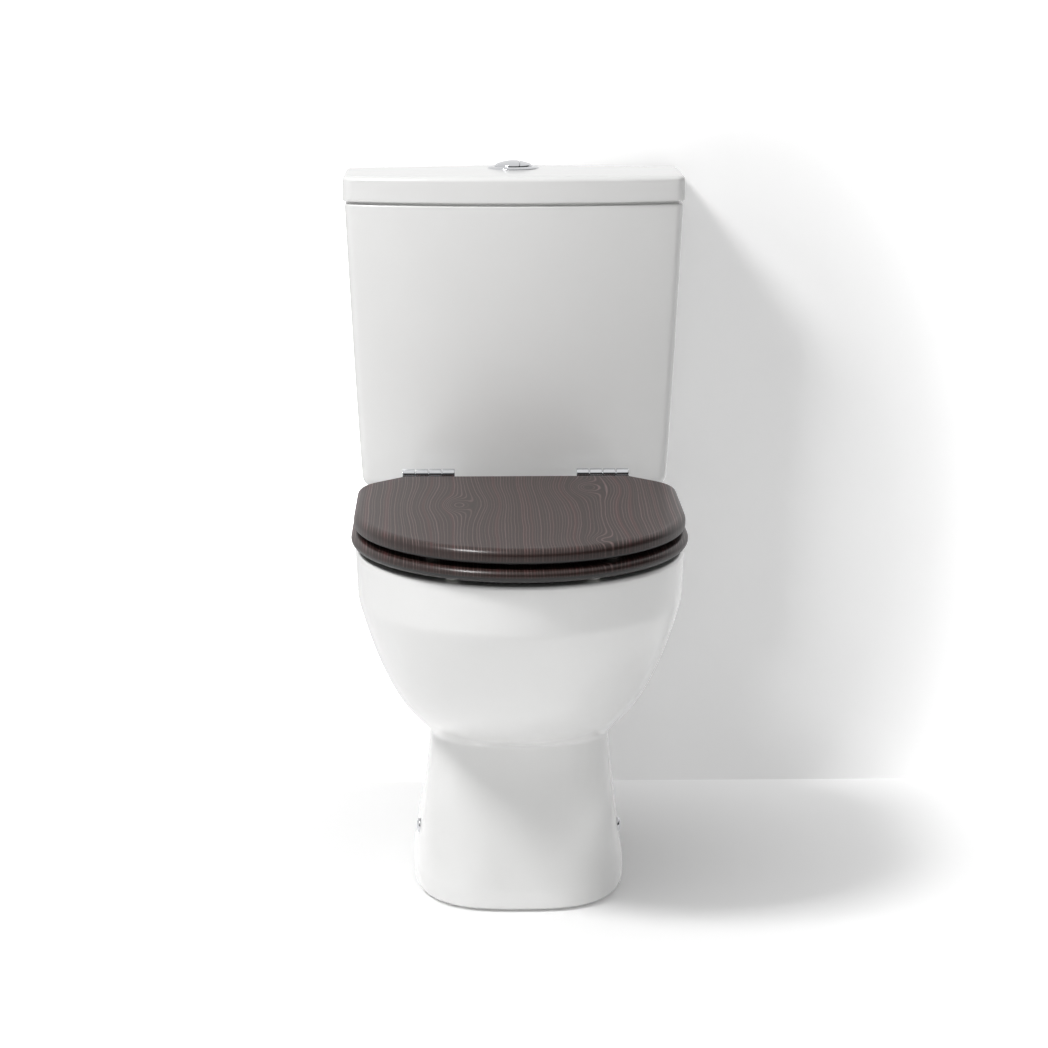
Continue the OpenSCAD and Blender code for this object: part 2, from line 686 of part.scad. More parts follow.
// Outline of the seat: an elliptical nose, straight sides, slanted corners and a straight back
nose_half_w = rim_w / 2 + seat_side;
nose_half_l = nose_len + seat_front;
seat_back_y = hinge_y - seat_back_gap;
slant_turn = atan2(nose_half_w - seat_back_w / 2, seat_back_y - bowl_y - seat_side_len);
seat_back_r = 12;
function arc_points(centre, r, from, turn, steps) = [
  for (i = [0:steps]) let (a = from + turn * i / steps) centre + r * [cos(a), sin(a)]
];
function seat_half(inset) =
  let (
    r = seat_corner_r, side_y = bowl_y + seat_side_len - r * tan(slant_turn / 2),
    back_turn = 90 - slant_turn, corner_x = seat_back_w / 2 - seat_back_r * tan(back_turn / 2)
  )
  concat(
    [for (i = [0:13]) let (a = 90 * i / 14 - 90)
      [(nose_half_w - inset) * cos(a), bowl_y + (nose_half_l - inset) * sin(a)]],
    [[nose_half_w - inset, bowl_y]],
    arc_points([nose_half_w - r, side_y], r - inset, 0, slant_turn, 5),
    arc_points([corner_x, seat_back_y - seat_back_r], seat_back_r - inset, slant_turn, back_turn, 3),
    [[0, seat_back_y - inset]]
  );
function seat_outline(inset, z) = both_halves(seat_half(inset), z);

// Matching ring round the hole, with one point behind each point of the outline
function hole_outline(widen, z) = [
  for (p = seat_outline(0, z))
    let (angle = atan2(p.y - bowl_y, p.x),
      r = oval_r(angle, seat_hole_w / 2 + widen, seat_hole_len / 2 + widen, 2))
    [r * cos(angle), bowl_y + r * sin(angle), z]
];

knuckle_pitch = knuckle_len + knuckle_gap;
leaf_x = bolt_pitch / 2 + 2 * knuckle_pitch;
leaf_screw_x = 9;
ring_screw_ys = [14, 34];
lid_screw_ys = [22, 42];
leaf_screw_r = 1.7;
leaf_screw_len = 9;
leaf_screw_fit = 0.05;

// Wood screw holes under or over a hinge leaf, pointing down or up from a height
module leaf_spots(ys) {
  for (side = [-1, 1]) for (i = [0, 1])
    translate([side * (leaf_x + (2 * i - 1) * leaf_screw_x), seat_back_y - ys[i], 0]) children();
}

ring_edge_r = ring_t / 2;
module seat_ring() {
  color("#4a3c3a") difference() {
    closed_loft(concat(
      [for (a = [-90:22.5:90])
        seat_outline(ring_edge_r * (1 - cos(a)), ring_z + ring_edge_r * (1 + sin(a)))],
      [for (a = [90:-22.5:-90])
        hole_outline(ring_edge_r * (1 - cos(a)), ring_z + ring_edge_r * (1 + sin(a)))]
    ));
    leaf_spots(ring_screw_ys) translate([0, 0, ring_top - leaf_screw_len])
      cylinder(r = leaf_screw_r + leaf_screw_fit, h = leaf_screw_len + cut);
  }
}

lid_foot_r = 3.5;
module seat_lid() {
  color("#4a3c3a") difference() {
    loft(
      concat(
        [for (a = [0:30:90])
          seat_outline(seat_lid_inset + lid_foot_r * (1 - sin(a)), seat_lid_z + lid_foot_r * (1 - cos(a)))],
        [for (a = [0:15:90])
          seat_outline(seat_lid_inset + bullnose_r * (1 - cos(a)),
            seat_lid_top - bullnose_r * (1 - sin(a)))]
      ),
      [0, bowl_y, seat_lid_z], [0, bowl_y, seat_lid_top]
    );
    leaf_spots(lid_screw_ys) translate([0, 0, seat_lid_z - cut])
      cylinder(r = leaf_screw_r + leaf_screw_fit, h = leaf_screw_len + cut);
  }
}

// Rubber buffers: they stop a small gap above the face that they come down on
buffer_r = 7;
module buffer(x, y, z, h) {
  both_sides() translate([x, y, z + seat_gap]) {
    cylinder(r1 = buffer_r - 0.8, r2 = buffer_r, h = 1);
    translate([0, 0, 1]) cylinder(r = buffer_r, h = h - seat_gap - 1);
  }
}
front_buffer_x = 0.4 * nose_half_w;
front_buffer_y = bowl_y - 0.77 * nose_half_l;
back_buffer_x = 0.73 * nose_half_w;
back_buffer_y = bowl_y + 0.725 * seat_side_len;
module ring_buffers() {
  color("white") {
    buffer(front_buffer_x, front_buffer_y, rim_h, ring_buffer_h);
    buffer(back_buffer_x, back_buffer_y, rim_h, ring_buffer_h);
  }
}
module lid_buffers() {
  color("white") {
    buffer(front_buffer_x + 3 * buffer_r, front_buffer_y + 4 * buffer_r, ring_top, lid_buffer_h);
    buffer(back_buffer_x + 2 * buffer_r, back_buffer_y, ring_top, lid_buffer_h);
  }
}

// Hinges

washer_t = 1.5;
flange_r = 13;
flange_t = 3;
pillar_r = 5.5;
thread_depth = 8;
thread_clear = 0.05;
pillar_z = rim_h + washer_t;

// One knuckle of the barrel, by its place from the pillar outwards
module knuckle(i) {
  translate([0, hinge_y, axis_z])
    bar_x(knuckle_r, bolt_pitch / 2 - knuckle_len / 2 + i * knuckle_pitch, knuckle_len);
}
module knuckle_bores() {
  translate([0, hinge_y, axis_z]) bar_x(pin_r + pin_clear, 0, bolt_pitch);
}
module on_bolts() {
  for (x = [-1, 1]) translate([x * bolt_pitch / 2, hinge_y, 0]) children();
}

module hinge_pillars() {
  color("silver") difference() {
    union() {
      both_sides() knuckle(0);
      on_bolts() {
        translate([0, 0, pillar_z]) cylinder(r1 = flange_r, r2 = flange_r - 1.5, h = flange_t);
        translate([0, 0, pillar_z + flange_t]) cylinder(r = pillar_r, h = axis_z - pillar_z - flange_t);
      }
    }
    both_sides() knuckle_bores();
    on_bolts() translate([0, 0, pillar_z - cut])
      cylinder(r = seat_bolt_r + thread_clear, h = thread_depth + seat_gap + cut);
  }
}

module hinge_pins() {
  color("silver") both_sides() translate([0, hinge_y, axis_z])
    bar_x(pin_r, bolt_pitch / 2 - knuckle_len / 2, 3 * knuckle_pitch + knuckle_len);
}

// Leaf on the seat: a plate with rounded front, an arm up to the barrel and its knuckles
leaf_half_w = 17;
module leaf_plate(z, back) {
  translate([leaf_x, seat_back_y - leaf_len, z]) difference() {
    union() {
      translate([-leaf_half_w, 0, 0]) cube([2 * leaf_half_w, leaf_len + back, leaf_t]);
      for (x = [-1, 1]) translate([x * (leaf_half_w - 6), 0, 0]) cylinder(r = 6, h = leaf_t);
      translate([6 - leaf_half_w, -6, 0]) cube([2 * leaf_half_w - 12, 6, leaf_t]);
    }
    children();
  }
}
module leaf_holes(ys) {
  for (i = [0, 1]) translate([(2 * i - 1) * leaf_screw_x, leaf_len - ys[i], -cut])
    cylinder(r = leaf_screw_r + 2 * leaf_screw_fit, h = leaf_t + 2 * cut);
}
knuckle_x = bolt_pitch / 2 - knuckle_len / 2;
ring_arm_y = hinge_y - knuckle_r - 0.8;
lid_arm_y = seat_back_y - seat_lid_inset + seat_gap;

module ring_leaves() {
  color("silver") both_sides() difference() {
    union() {
      leaf_plate(ring_top, ring_arm_y + leaf_t - seat_back_y) leaf_holes(ring_screw_ys);
      for (i = [1, 3]) {
        knuckle(i);
        translate([knuckle_x + i * knuckle_pitch, ring_arm_y, ring_top])
          cube([knuckle_len, leaf_t, axis_z - ring_top]);
        translate([knuckle_x + i * knuckle_pitch, ring_arm_y - 4, ring_top])
          cube([knuckle_len, 4 + leaf_t, leaf_t]);
      }
    }
    knuckle_bores();
  }
}

module lid_leaves() {
  color("silver") both_sides() difference() {
    union() {
      leaf_plate(seat_lid_z - leaf_t, lid_arm_y + leaf_t - seat_back_y) leaf_holes(lid_screw_ys);
      knuckle(2);
      translate([knuckle_x + 2 * knuckle_pitch, lid_arm_y, seat_lid_z - leaf_t])
        cube([knuckle_len, leaf_t, axis_z - seat_lid_z]);
      translate([knuckle_x + 2 * knuckle_pitch, lid_arm_y, axis_z - 2 * leaf_t])
        cube([knuckle_len, hinge_y - lid_arm_y - pin_r - leaf_t, leaf_t]);
    }
    knuckle_bores();
  }
}

leaf_head_r = 3.3;
leaf_head_h = 0.8;
module ring_leaf_screws() {
  color("silver") leaf_spots(ring_screw_ys) translate([0, 0, ring_top]) {
    translate([0, 0, seat_gap - leaf_screw_len])
      cylinder(r = leaf_screw_r, h = leaf_screw_len + leaf_t - seat_gap);
    translate([0, 0, leaf_t]) cylinder(r1 = leaf_head_r, r2 = leaf_head_r - 0.6, h = leaf_head_h);
  }
}
module lid_leaf_screws() {
  color("silver") leaf_spots(lid_screw_ys) translate([0, 0, seat_lid_z]) {
    translate([0, 0, -leaf_t]) cylinder(r = leaf_screw_r, h = leaf_screw_len + leaf_t - seat_gap);
    translate([0, 0, -leaf_t - leaf_head_h])
      cylinder(r1 = leaf_head_r - 0.6, r2 = leaf_head_r, h = leaf_head_h);
  }
}

module pillar_washers() {
  color("#333333") on_bolts() translate([0, 0, rim_h]) tube(flange_r, seat_bolt_r + hole_clear, washer_t);
}
module seat_bolts() {
  color("silver") on_bolts() translate([0, 0, rim_h - seat_bolt_len])
    cylinder(r = seat_bolt_r, h = seat_bolt_len + washer_t + thread_depth);
}
cone_t = 3;
cone_h = 7;
module seat_cone_washers() {
  color("#333333") on_bolts() difference() {
    union() {
      translate([0, 0, deck_under - cone_t]) cylinder(r = seat_bolt_hole_r + 5, h = cone_t);
      translate([0, 0, deck_under])
        cylinder(r1 = seat_bolt_hole_r - 0.4, r2 = seat_bolt_hole_r - 2, h = cone_h);
    }
    translate([0, 0, deck_under - cone_t - cut])
      cylinder(r = seat_bolt_r + hole_clear, h = cone_t + cone_h + 2 * cut);
  }
}

// Wing nut hanging below a height
nut_r = 8;
nut_h = 9;
wing_span = 34;
wing_t = 3;
module wing_nut(top_z, bolt_r) {
  translate([0, 0, top_z - nut_h]) difference() {
    union() {
      cylinder(r = nut_r, h = nut_h);
      translate([-wing_t / 2, -wing_span / 2, -3]) cube([wing_t, wing_span, nut_h]);
    }
    translate([0, 0, -3 - cut]) cylinder(r = bolt_r + thread_clear, h = nut_h + 3 + 2 * cut);
  }
}
module seat_wing_nuts() {
  color("white") on_bolts() wing_nut(deck_under - cone_t, seat_bolt_r);
}

// Flush button in the lid

bezel_t = 3;
collar_r = lid_hole_r - hole_clear;
collar_wall = 2;
button_well = 30;
well_floor_z = lid_top - button_well;
button_clear = hole_clear;
button_foot_z = well_floor_z + bezel_t + 15;
split_x = 7;
full_stem_x = -8;
half_stem_x = 14;
stem_r = 3.5;
plunger_top_z = well_floor_z - 8;
button_axis = [0, valve_y, 0];

module at_stems() {
  for (x = [full_stem_x, half_stem_x]) translate([x, valve_y, 0]) children();
}

module button_bezel() {
  color("silver") difference() {
    translate(button_axis) union() {
      translate([0, 0, lid_top]) rotate_extrude() polygon([
        [0, 0], [bezel_r, 0], [bezel_r, 1], [bezel_r - 0.8, 2],
        [bezel_r - 2.5, bezel_t - 0.3], [bezel_r - 5, bezel_t],
        [button_r + 2, bezel_t], [0, bezel_t]
      ]);
      translate([0, 0, well_floor_z]) cylinder(r = collar_r, h = button_well + 1);
    }
    translate(button_axis) translate([0, 0, well_floor_z + bezel_t])
      cylinder(r = button_r + button_clear, h = button_well + bezel_t);
    at_stems() translate([0, 0, well_floor_z - cut])
      cylinder(r = stem_r + hole_clear, h = bezel_t + 2 * cut);
  }
}

backnut_h = 8;
module button_backnut() {
  color("white") translate(button_axis) translate([0, 0, lid_top - lid_wall - seat_gap - backnut_h])
    tube(bezel_r + 1, collar_r + thread_clear, backnut_h);
}

// The two buttons are one drum with a domed top, cut apart beside the middle
drum_gap = 0.6;
module button_drum() {
  translate(button_axis) translate([0, 0, button_foot_z]) rotate_extrude() polygon([
    [0, 0], [button_r, 0], [button_r, lid_top + button_rise - button_foot_z - 2.5],
    [button_r - 0.7, lid_top + button_rise - button_foot_z - 1.2],
    [button_r - 2.2, lid_top + button_rise - button_foot_z - 0.3],
    [button_r - 5, lid_top + button_rise - button_foot_z], [0, lid_top + button_rise - button_foot_z]
  ]);
}
module stem(x) {
  translate([x, valve_y, plunger_top_z + hole_clear])
    cylinder(r = stem_r, h = button_foot_z - plunger_top_z);
}
module drum_cut(from_x, to_x) {
  translate([from_x, valve_y - 2 * button_r, button_foot_z - cut])
    cube([to_x - from_x, 4 * button_r, 2 * button_well]);
}
module button_full() {
  color("silver") union() {
    difference() {
      button_drum();
      drum_cut(split_x - drum_gap / 2, 2 * button_r);
    }
    stem(full_stem_x);
  }
}
module button_half() {
  color("silver") union() {
    difference() {
      button_drum();
      drum_cut(-2 * button_r, split_x + drum_gap / 2);
    }
    stem(half_stem_x);
  }
}

// Return springs round the stems, drawn as their sleeves
spring_wall = 1;
module spring_sleeve(x) {
  translate([x, valve_y, well_floor_z + bezel_t])
    tube(stem_r + hole_clear + spring_wall, stem_r + hole_clear, button_foot_z - well_floor_z - bezel_t);
}
module spring_full() {
  color("gray") spring_sleeve(full_stem_x);
}
module spring_half() {
  color("gray") spring_sleeve(half_stem_x);
}

// Flush valve

rubber_t = 3;
valve_flange_r = 40;
valve_flange_t = 5;
valve_bore_r = valve_tail_r - 5;
valve_flange_z = cistern_floor + rubber_t;
seat_lip_h = 3;
seat_lip_z = valve_flange_z + valve_flange_t + seat_lip_h;
plate_t = 2.5;
plate_z = cistern_z - plate_t;
valve_tail_z = rim_h - seal_pocket_d + 8;
cage_top_z = seat_lip_z + piston_lift + 24;
cage_posts = 4;
post_r = 3.5;
tower_top_z = well_floor_z - 90;
tower_r = 20;
tower_bore_r = 17;
piston_tube_r = tower_bore_r - 1.5;

module at_posts() {
  for (i = [0:cage_posts - 1]) rotate([0, 0, 45 + 90 * i])
    translate([valve_flange_r - post_r - 0.5, 0, 0]) children();
}

module valve_body() {
  color("white") translate([0, valve_y, 0]) difference() {
    union() {
      translate([0, 0, valve_tail_z]) cylinder(r = valve_tail_r, h = valve_flange_z - valve_tail_z + 1);
      translate([0, 0, valve_flange_z]) cylinder(r = valve_flange_r, h = valve_flange_t);
      translate([0, 0, valve_flange_z]) cylinder(r = valve_bore_r + 3, h = seat_lip_z - valve_flange_z);
      at_posts() translate([0, 0, valve_flange_z + 1])
        cylinder(r = post_r, h = cage_top_z - valve_flange_z - 1);
    }
    translate([0, 0, valve_tail_z - cut])
      cylinder(r = valve_bore_r, h = seat_lip_z - valve_tail_z + 2 * cut);
  }
}

// The tower stands on the cage's posts and guides the piston's tube and the plungers
crown_t = 4;
module valve_tower() {
  color("#3d78b8") translate([0, valve_y, 0]) difference() {
    union() {
      translate([0, 0, cage_top_z]) cylinder(r = valve_flange_r, h = crown_t);
      translate([0, 0, cage_top_z + 1]) cylinder(r = tower_r, h = tower_top_z - cage_top_z - 1);
    }
    translate([0, 0, cage_top_z - cut])
      cylinder(r = tower_bore_r, h = tower_top_z - crown_t - cage_top_z + cut);
    for (x = [full_stem_x, half_stem_x - 3]) translate([x, 0, tower_top_z - crown_t - cut])
      cylinder(r = plunger_r + hole_clear, h = crown_t + 2 * cut);
    for (z = [cage_top_z + 40, cage_top_z + 80])
      translate([-tower_r - cut, -4, z]) cube([2 * tower_r + 2 * cut, 8, 24]);
  }
}

module valve_floor_washer() {
  color("#333333") translate([0, valve_y, cistern_floor]) tube(valve_flange_r, valve_hole_r, rubber_t);
}

valve_nut_r = 39;
valve_nut_h = 12;
module valve_backnut() {
  color("white") translate([0, valve_y, plate_z - seat_gap - valve_nut_h])
    tube(valve_nut_r, valve_tail_r + thread_clear, valve_nut_h);
}

// Piston: a disc on the valve's seat under a tube that runs up in the tower
piston_r = valve_bore_r + 6;
piston_seal_t = 3;
piston_disc_t = 4;
piston_z = seat_lip_z + seat_gap;
piston_disc_z = piston_z + piston_seal_t;
piston_top_z = tower_top_z - crown_t - piston_lift - 20;
module valve_piston() {
  color("#d8d8d8") translate([0, valve_y, piston_disc_z]) difference() {
    union() {
      cylinder(r = piston_r, h = piston_disc_t);
      cylinder(r = piston_tube_r, h = piston_top_z - piston_disc_z);
    }
    translate([0, 0, -cut]) cylinder(r = piston_tube_r - 2, h = piston_top_z - piston_disc_z + 2 * cut);
  }
}
module piston_seal() {
  color("#333333") translate([0, valve_y, piston_z]) tube(piston_r, piston_tube_r - 2, piston_seal_t);
}

// Plungers under the button stems, with a collar above the tower
plunger_r = 2.5;
plunger_foot_z = tower_top_z - crown_t - 6;
module plunger(x, shift) {
  translate([x - shift, valve_y, plunger_foot_z]) {
    cylinder(r = plunger_r, h = plunger_top_z - plunger_foot_z);
    translate([0, 0, plunger_top_z - plunger_foot_z - 4]) cylinder(r = plunger_r + 1, h = 4);
    translate([0, 0, crown_t + 6 + button_travel + 2]) cylinder(r = plunger_r + 1.5, h = 3);
  }
}
module plunger_full() {
  color("white") plunger(full_stem_x, 0);
}
module plunger_half() {
  color("white") plunger(half_stem_x, 3);
}

// Fill valve

fill_y = valve_y;
fill_z = cistern_floor + rubber_t;
fill_flange_r = 17;
fill_flange_t = 4;
fill_column_r = 11;
fill_tail_z = rim_h - 46;
fill_head_z = cistern_floor + fill_head_h;
head_r = 17;
head_h = 24;
lug_t = 4;
arm_w = 8;
pivot_z = fill_head_z - 12;
pivot_x = 8;
trunnion_r = 2;
trunnion_clear = 0.06;
fill_pin_r = 2.5;
fill_wall = 4;
fill_nut_h = 11;
// The thread runs out in a groove below the backnut
fill_groove_w = 1.6;
fill_groove_d = 1;
fill_groove_z = cistern_z - seat_gap - fill_nut_h - 1 - fill_groove_w;
fill_pin_x = head_r + 8;

module at_fill() {
  translate([-inlet_x, fill_y, 0]) children();
}

module fill_valve() {
  color("white") at_fill() difference() {
    union() {
      translate([0, 0, fill_tail_z]) cylinder(r = inlet_r, h = fill_z - fill_tail_z + 1);
      translate([0, 0, fill_z]) cylinder(r = fill_flange_r, h = fill_flange_t);
      translate([0, 0, fill_z + 1]) cylinder(r = fill_column_r, h = fill_head_z - fill_z);
      translate([0, 0, fill_head_z]) cylinder(r = head_r, h = head_h);
      for (side = [-1, 1])
        translate([0, side * (arm_w / 2 + seat_gap + lug_t / 2) - lug_t / 2, pivot_z - 5])
        cube([head_r + pivot_x - 3, lug_t, fill_head_z - pivot_z + 6]);
      translate([head_r - 2, -6, fill_head_z + 6]) cube([fill_pin_x - head_r + 8, 12, head_h - 6]);
    }
    translate([0, 0, fill_tail_z - cut]) cylinder(r = inlet_r - fill_wall, h = fill_head_z - fill_tail_z);
    translate([0, 0, fill_groove_z]) tube(inlet_r + cut, inlet_r - fill_groove_d, fill_groove_w);
    translate([head_r, 0, pivot_z]) rotate([90, 0, 0])
      cylinder(r = trunnion_r + trunnion_clear, h = 3 * arm_w, center = true);
    translate([fill_pin_x, 0, fill_head_z]) cylinder(r = fill_pin_r + 0.3, h = head_h - 4);
  }
}

module fill_floor_washer() {
  color("#333333") at_fill() translate([0, 0, cistern_floor]) tube(fill_flange_r, inlet_hole_r, rubber_t);
}
module fill_backnut() {
  color("white") at_fill() translate([0, 0, cistern_z - seat_gap - fill_nut_h]) difference() {
    cylinder(r = inlet_r + 7, h = fill_nut_h, $fn = 6);
    translate([0, 0, -cut]) cylinder(r = inlet_r + thread_clear, h = fill_nut_h + 2 * cut);
  }
}

float_r = 20;
float_len = 60;
float_x = head_r + 42;
arm_h = 5;
float_screw_r = 2;
float_drop = 24;
module float_arm() {
  color("white") at_fill() translate([0, 0, pivot_z]) difference() {
    union() {
      translate([head_r, 0, 0]) rotate([90, 0, 0]) cylinder(r = 4, h = arm_w, center = true);
      translate([head_r, 0, 0]) rotate([90, 0, 0])
        cylinder(r = trunnion_r, h = arm_w + 2 * seat_gap + 2 * lug_t - 0.6, center = true);
      translate([head_r, -arm_w / 2, -arm_h / 2]) cube([float_x - head_r, arm_w, arm_h]);
      translate([float_x, 0, -arm_h / 2]) cylinder(r = 6, h = arm_h);
    }
    translate([float_x, 0, -arm_h]) cylinder(r = float_screw_r + thread_clear, h = 2 * arm_h);
  }
}
module float() {
  color("#e8e8e8") at_fill() translate([float_x, 0, pivot_z - float_drop - float_len]) difference() {
    cylinder(r = float_r, h = float_len);
    translate([0, 0, float_len - 16]) cylinder(r = float_screw_r + thread_clear, h = 17);
  }
}
module float_screw() {
  color("white") at_fill() translate([float_x, 0, pivot_z - float_drop - 15]) {
    cylinder(r = float_screw_r, h = float_drop + 15 + 14);
    translate([0, 0, float_drop + 15 + 14]) cylinder(r = 4, h = 4);
  }
}
// The pin rides on the arm and closes the inlet as the float comes up
fill_pin_len = 22;
module fill_plunger() {
  color("#333333") at_fill() translate([fill_pin_x, 0, pivot_z + arm_h / 2 + seat_gap])
    cylinder(r = fill_pin_r, h = fill_pin_len);
}

// Close coupling

module coupling_plate() {
  color("silver") translate([0, valve_y, plate_z]) difference() {
    union() {
      cylinder(r = valve_flange_r + 4, h = plate_t);
      translate([-coupling_pitch / 2, -16, 0]) cube([coupling_pitch, 32, plate_t]);
      for (x = [-1, 1]) translate([x * coupling_pitch / 2, 0, 0]) cylinder(r = 16, h = plate_t);
    }
    translate([0, 0, -cut]) cylinder(r = valve_tail_r + 1, h = plate_t + 2 * cut);
    for (x = [-1, 1]) translate([x * coupling_pitch / 2, 0, -cut])
      cylinder(r = coupling_bolt_r + hole_clear, h = plate_t + 2 * cut);
  }
}
module doughnut_seal() {
  color("#333333") translate([0, valve_y, rim_h - seal_pocket_d])
    tube(seal_pocket_r - hole_clear, valve_nut_r + hole_clear, plate_z - seat_gap - rim_h + seal_pocket_d);
}
module on_coupling() {
  for (x = [-1, 1]) translate([x * coupling_pitch / 2, valve_y, 0]) children();
}
coupling_head_h = 5.5;
coupling_foot_z = rim_h - 52;
module coupling_bolts() {
  color("silver") on_coupling() {
    translate([0, 0, coupling_foot_z])
      cylinder(r = coupling_bolt_r, h = cistern_floor + rubber_t + 1 - coupling_foot_z);
    translate([0, 0, cistern_floor + rubber_t + seat_gap]) cylinder(r = 7.5, h = coupling_head_h, $fn = 6);
  }
}
module coupling_washers() {
  color("#333333") on_coupling() {
    translate([0, 0, cistern_floor]) tube(12, coupling_bolt_r + hole_clear, rubber_t);
    translate([0, 0, deck_under - rubber_t]) tube(12, coupling_bolt_r + hole_clear, rubber_t);
  }
}
module coupling_wing_nuts() {
  color("silver") on_coupling() wing_nut(deck_under - rubber_t, coupling_bolt_r);
}

// Floor fixing

bracket_t = 4;
bracket_w = 36;
bracket_h = 76;
bracket_foot = 38;
floor_hole_r = 4;
bracket_face_x = bracket_x - seat_gap;
screw_head_h = 4;
module floor_brackets() {
  color("silver") both_sides() difference() {
    union() {
      translate([bracket_face_x - bracket_t, side_screw_y - bracket_w / 2, 0])
        cube([bracket_t, bracket_w, bracket_h]);
      translate([bracket_face_x - bracket_foot, side_screw_y - bracket_w / 2, 0])
        cube([bracket_foot, bracket_w, bracket_t]);
    }
    translate([0, side_screw_y, side_screw_h])
      bar_x(side_screw_r + thread_clear, bracket_face_x - bracket_t - cut, bracket_t + 2 * cut);
    translate([bracket_face_x - bracket_foot / 2, side_screw_y, -cut])
      cylinder(r = floor_hole_r, h = bracket_t + 2 * cut);
  }
}
module side_screws() {
  color("silver") both_sides() translate([0, side_screw_y, side_screw_h])
    bar_x(side_screw_r, bracket_face_x - bracket_t - 4,
      cap_seat_x - bracket_face_x + bracket_t + 4 - seat_gap);
}
// Domed cap in the spot face over each side screw
cap_dome = 3.2;
cap_rim_t = 1.2;
module side_caps() {
  color("silver") both_sides() translate([cap_seat_x, side_screw_y, side_screw_h])
    rotate([0, 90, 0]) rotate_extrude() polygon([
    [0, 0], [cap_r, 0], [cap_r, cap_rim_t], [cap_r * 0.92, cap_rim_t + cap_dome * 0.4],
    [cap_r * 0.7, cap_rim_t + cap_dome * 0.75],
    [cap_r * 0.4, cap_rim_t + cap_dome * 0.94], [0, cap_rim_t + cap_dome]
  ]);
}

pan();
cistern();
cistern_lid();
seat_ring();
seat_lid();
ring_buffers();
lid_buffers();
hinge_pillars();
hinge_pins();
ring_leaves();
lid_leaves();
ring_leaf_screws();
lid_leaf_screws();
pillar_washers();
seat_bolts();
seat_cone_washers();
seat_wing_nuts();
button_bezel();
button_backnut();
button_full();
button_half();
spring_full();
spring_half();
valve_body();
valve_tower();
valve_floor_washer();
valve_backnut();
valve_piston();
piston_seal();
plunger_full();
plunger_half();
fill_valve();
fill_floor_washer();
fill_backnut();
float_arm();
float();
float_screw();
fill_plunger();
coupling_plate();
doughnut_seal();
coupling_bolts();
coupling_washers();
coupling_wing_nuts();
side_screws();
side_caps();
floor_brackets();
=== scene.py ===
"""Close-coupled toilet: glazed china, a veneered seat on chrome hinges, and the flush gear inside."""

from math import acos, asin, atan2, cos, hypot, pi, radians, sin, sqrt, tan
from types import SimpleNamespace

import bmesh
import bpy
from bpy.props import FloatProperty, FloatVectorProperty, PointerProperty
from mathutils import Matrix, Vector


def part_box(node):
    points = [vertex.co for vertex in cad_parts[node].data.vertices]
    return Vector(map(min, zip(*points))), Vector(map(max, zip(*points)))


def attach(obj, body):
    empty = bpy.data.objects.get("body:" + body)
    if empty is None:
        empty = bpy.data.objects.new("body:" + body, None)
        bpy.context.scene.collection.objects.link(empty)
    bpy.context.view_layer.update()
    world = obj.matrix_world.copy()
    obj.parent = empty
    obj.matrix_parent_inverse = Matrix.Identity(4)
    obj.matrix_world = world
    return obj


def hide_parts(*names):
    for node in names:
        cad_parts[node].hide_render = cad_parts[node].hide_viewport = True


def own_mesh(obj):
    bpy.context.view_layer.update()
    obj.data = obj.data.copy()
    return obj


bl_info = {
    "name": "Close-coupled toilet",
    "version": (1, 0, 0),
    "blender": (4, 5, 0),
    "location": "View3D > Sidebar > Toilet",
    "description": "Builds the china, seat, hinges and flush gear round the packed frame",
    "category": "Add Mesh",
}

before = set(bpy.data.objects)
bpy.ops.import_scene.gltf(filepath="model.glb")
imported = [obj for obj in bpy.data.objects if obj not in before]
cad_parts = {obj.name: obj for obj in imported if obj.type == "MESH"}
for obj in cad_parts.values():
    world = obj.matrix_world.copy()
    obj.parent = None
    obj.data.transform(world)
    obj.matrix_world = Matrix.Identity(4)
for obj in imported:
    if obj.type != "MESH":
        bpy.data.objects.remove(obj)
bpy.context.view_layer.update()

# Lengths are written in millimetres and scaled when a piece is finished
MM = 0.001
TURN = 2 * pi
QUARTER = pi / 2
# Edges that turn by more degrees than this stay sharp
SHARP = 32


def node_box(name):
    """Lowest and highest corner of a solid, in millimetres."""
    low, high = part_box(name)
    return low / MM, high / MM


PAN_LOW, PAN_HIGH = node_box("pan")
TANK_LOW, TANK_HIGH = node_box("cistern")
COVER_LOW, COVER_HIGH = node_box("cistern_lid")
RING_LOW, RING_HIGH = node_box("seat_ring")
LID_LOW, LID_HIGH = node_box("seat_lid")


def linear(hex_colour):
    """The linear colour of an sRGB hex value."""
    parts = [int(hex_colour[i:i + 2], 16) / 255 for i in (1, 3, 5)]
    return tuple(p / 12.92 if p <= 0.04045 else ((p + 0.055) / 1.055) ** 2.4 for p in parts)


def size(label, text, value, low, high):
    """A size in millimetres, which Blender's own length unit would read as metres."""
    return FloatProperty(name=label, description=text, default=value, min=low, max=high, unit="NONE")


def colour(label, text, hex_colour):
    return FloatVectorProperty(
        name=label, description=text, default=linear(hex_colour), size=3, min=0, max=1, subtype="COLOR")


class ToiletSizes(bpy.types.PropertyGroup):
    """Sizes in millimetres, taken from the solids where they show them."""

    rim_h: size("Rim height", "Height of the rim above the floor", PAN_HIGH.z, 370, 430)
    rim_w: size("Rim width", "Width of the pan across its rim", 356, 340, 376)
    crease_drop: size("Rim band", "Height of the upright band below the rim", 53, 40, 62)
    mouth_w: size("Mouth width", "Width of the opening inside the rim", 240, 225, 250)
    mouth_l: size("Mouth length", "Length of the opening inside the rim", 316, 290, 330)
    foot_w: size("Foot width", "Width of the foot", 236, 220, 250)
    bullnose_r: size("Bullnose", "Radius of the seat lid's rounded top edge", 8.5, 6, 9)
    grain: size("Grain spacing", "Distance between two grain lines of the veneer", 3.3, 2, 8)


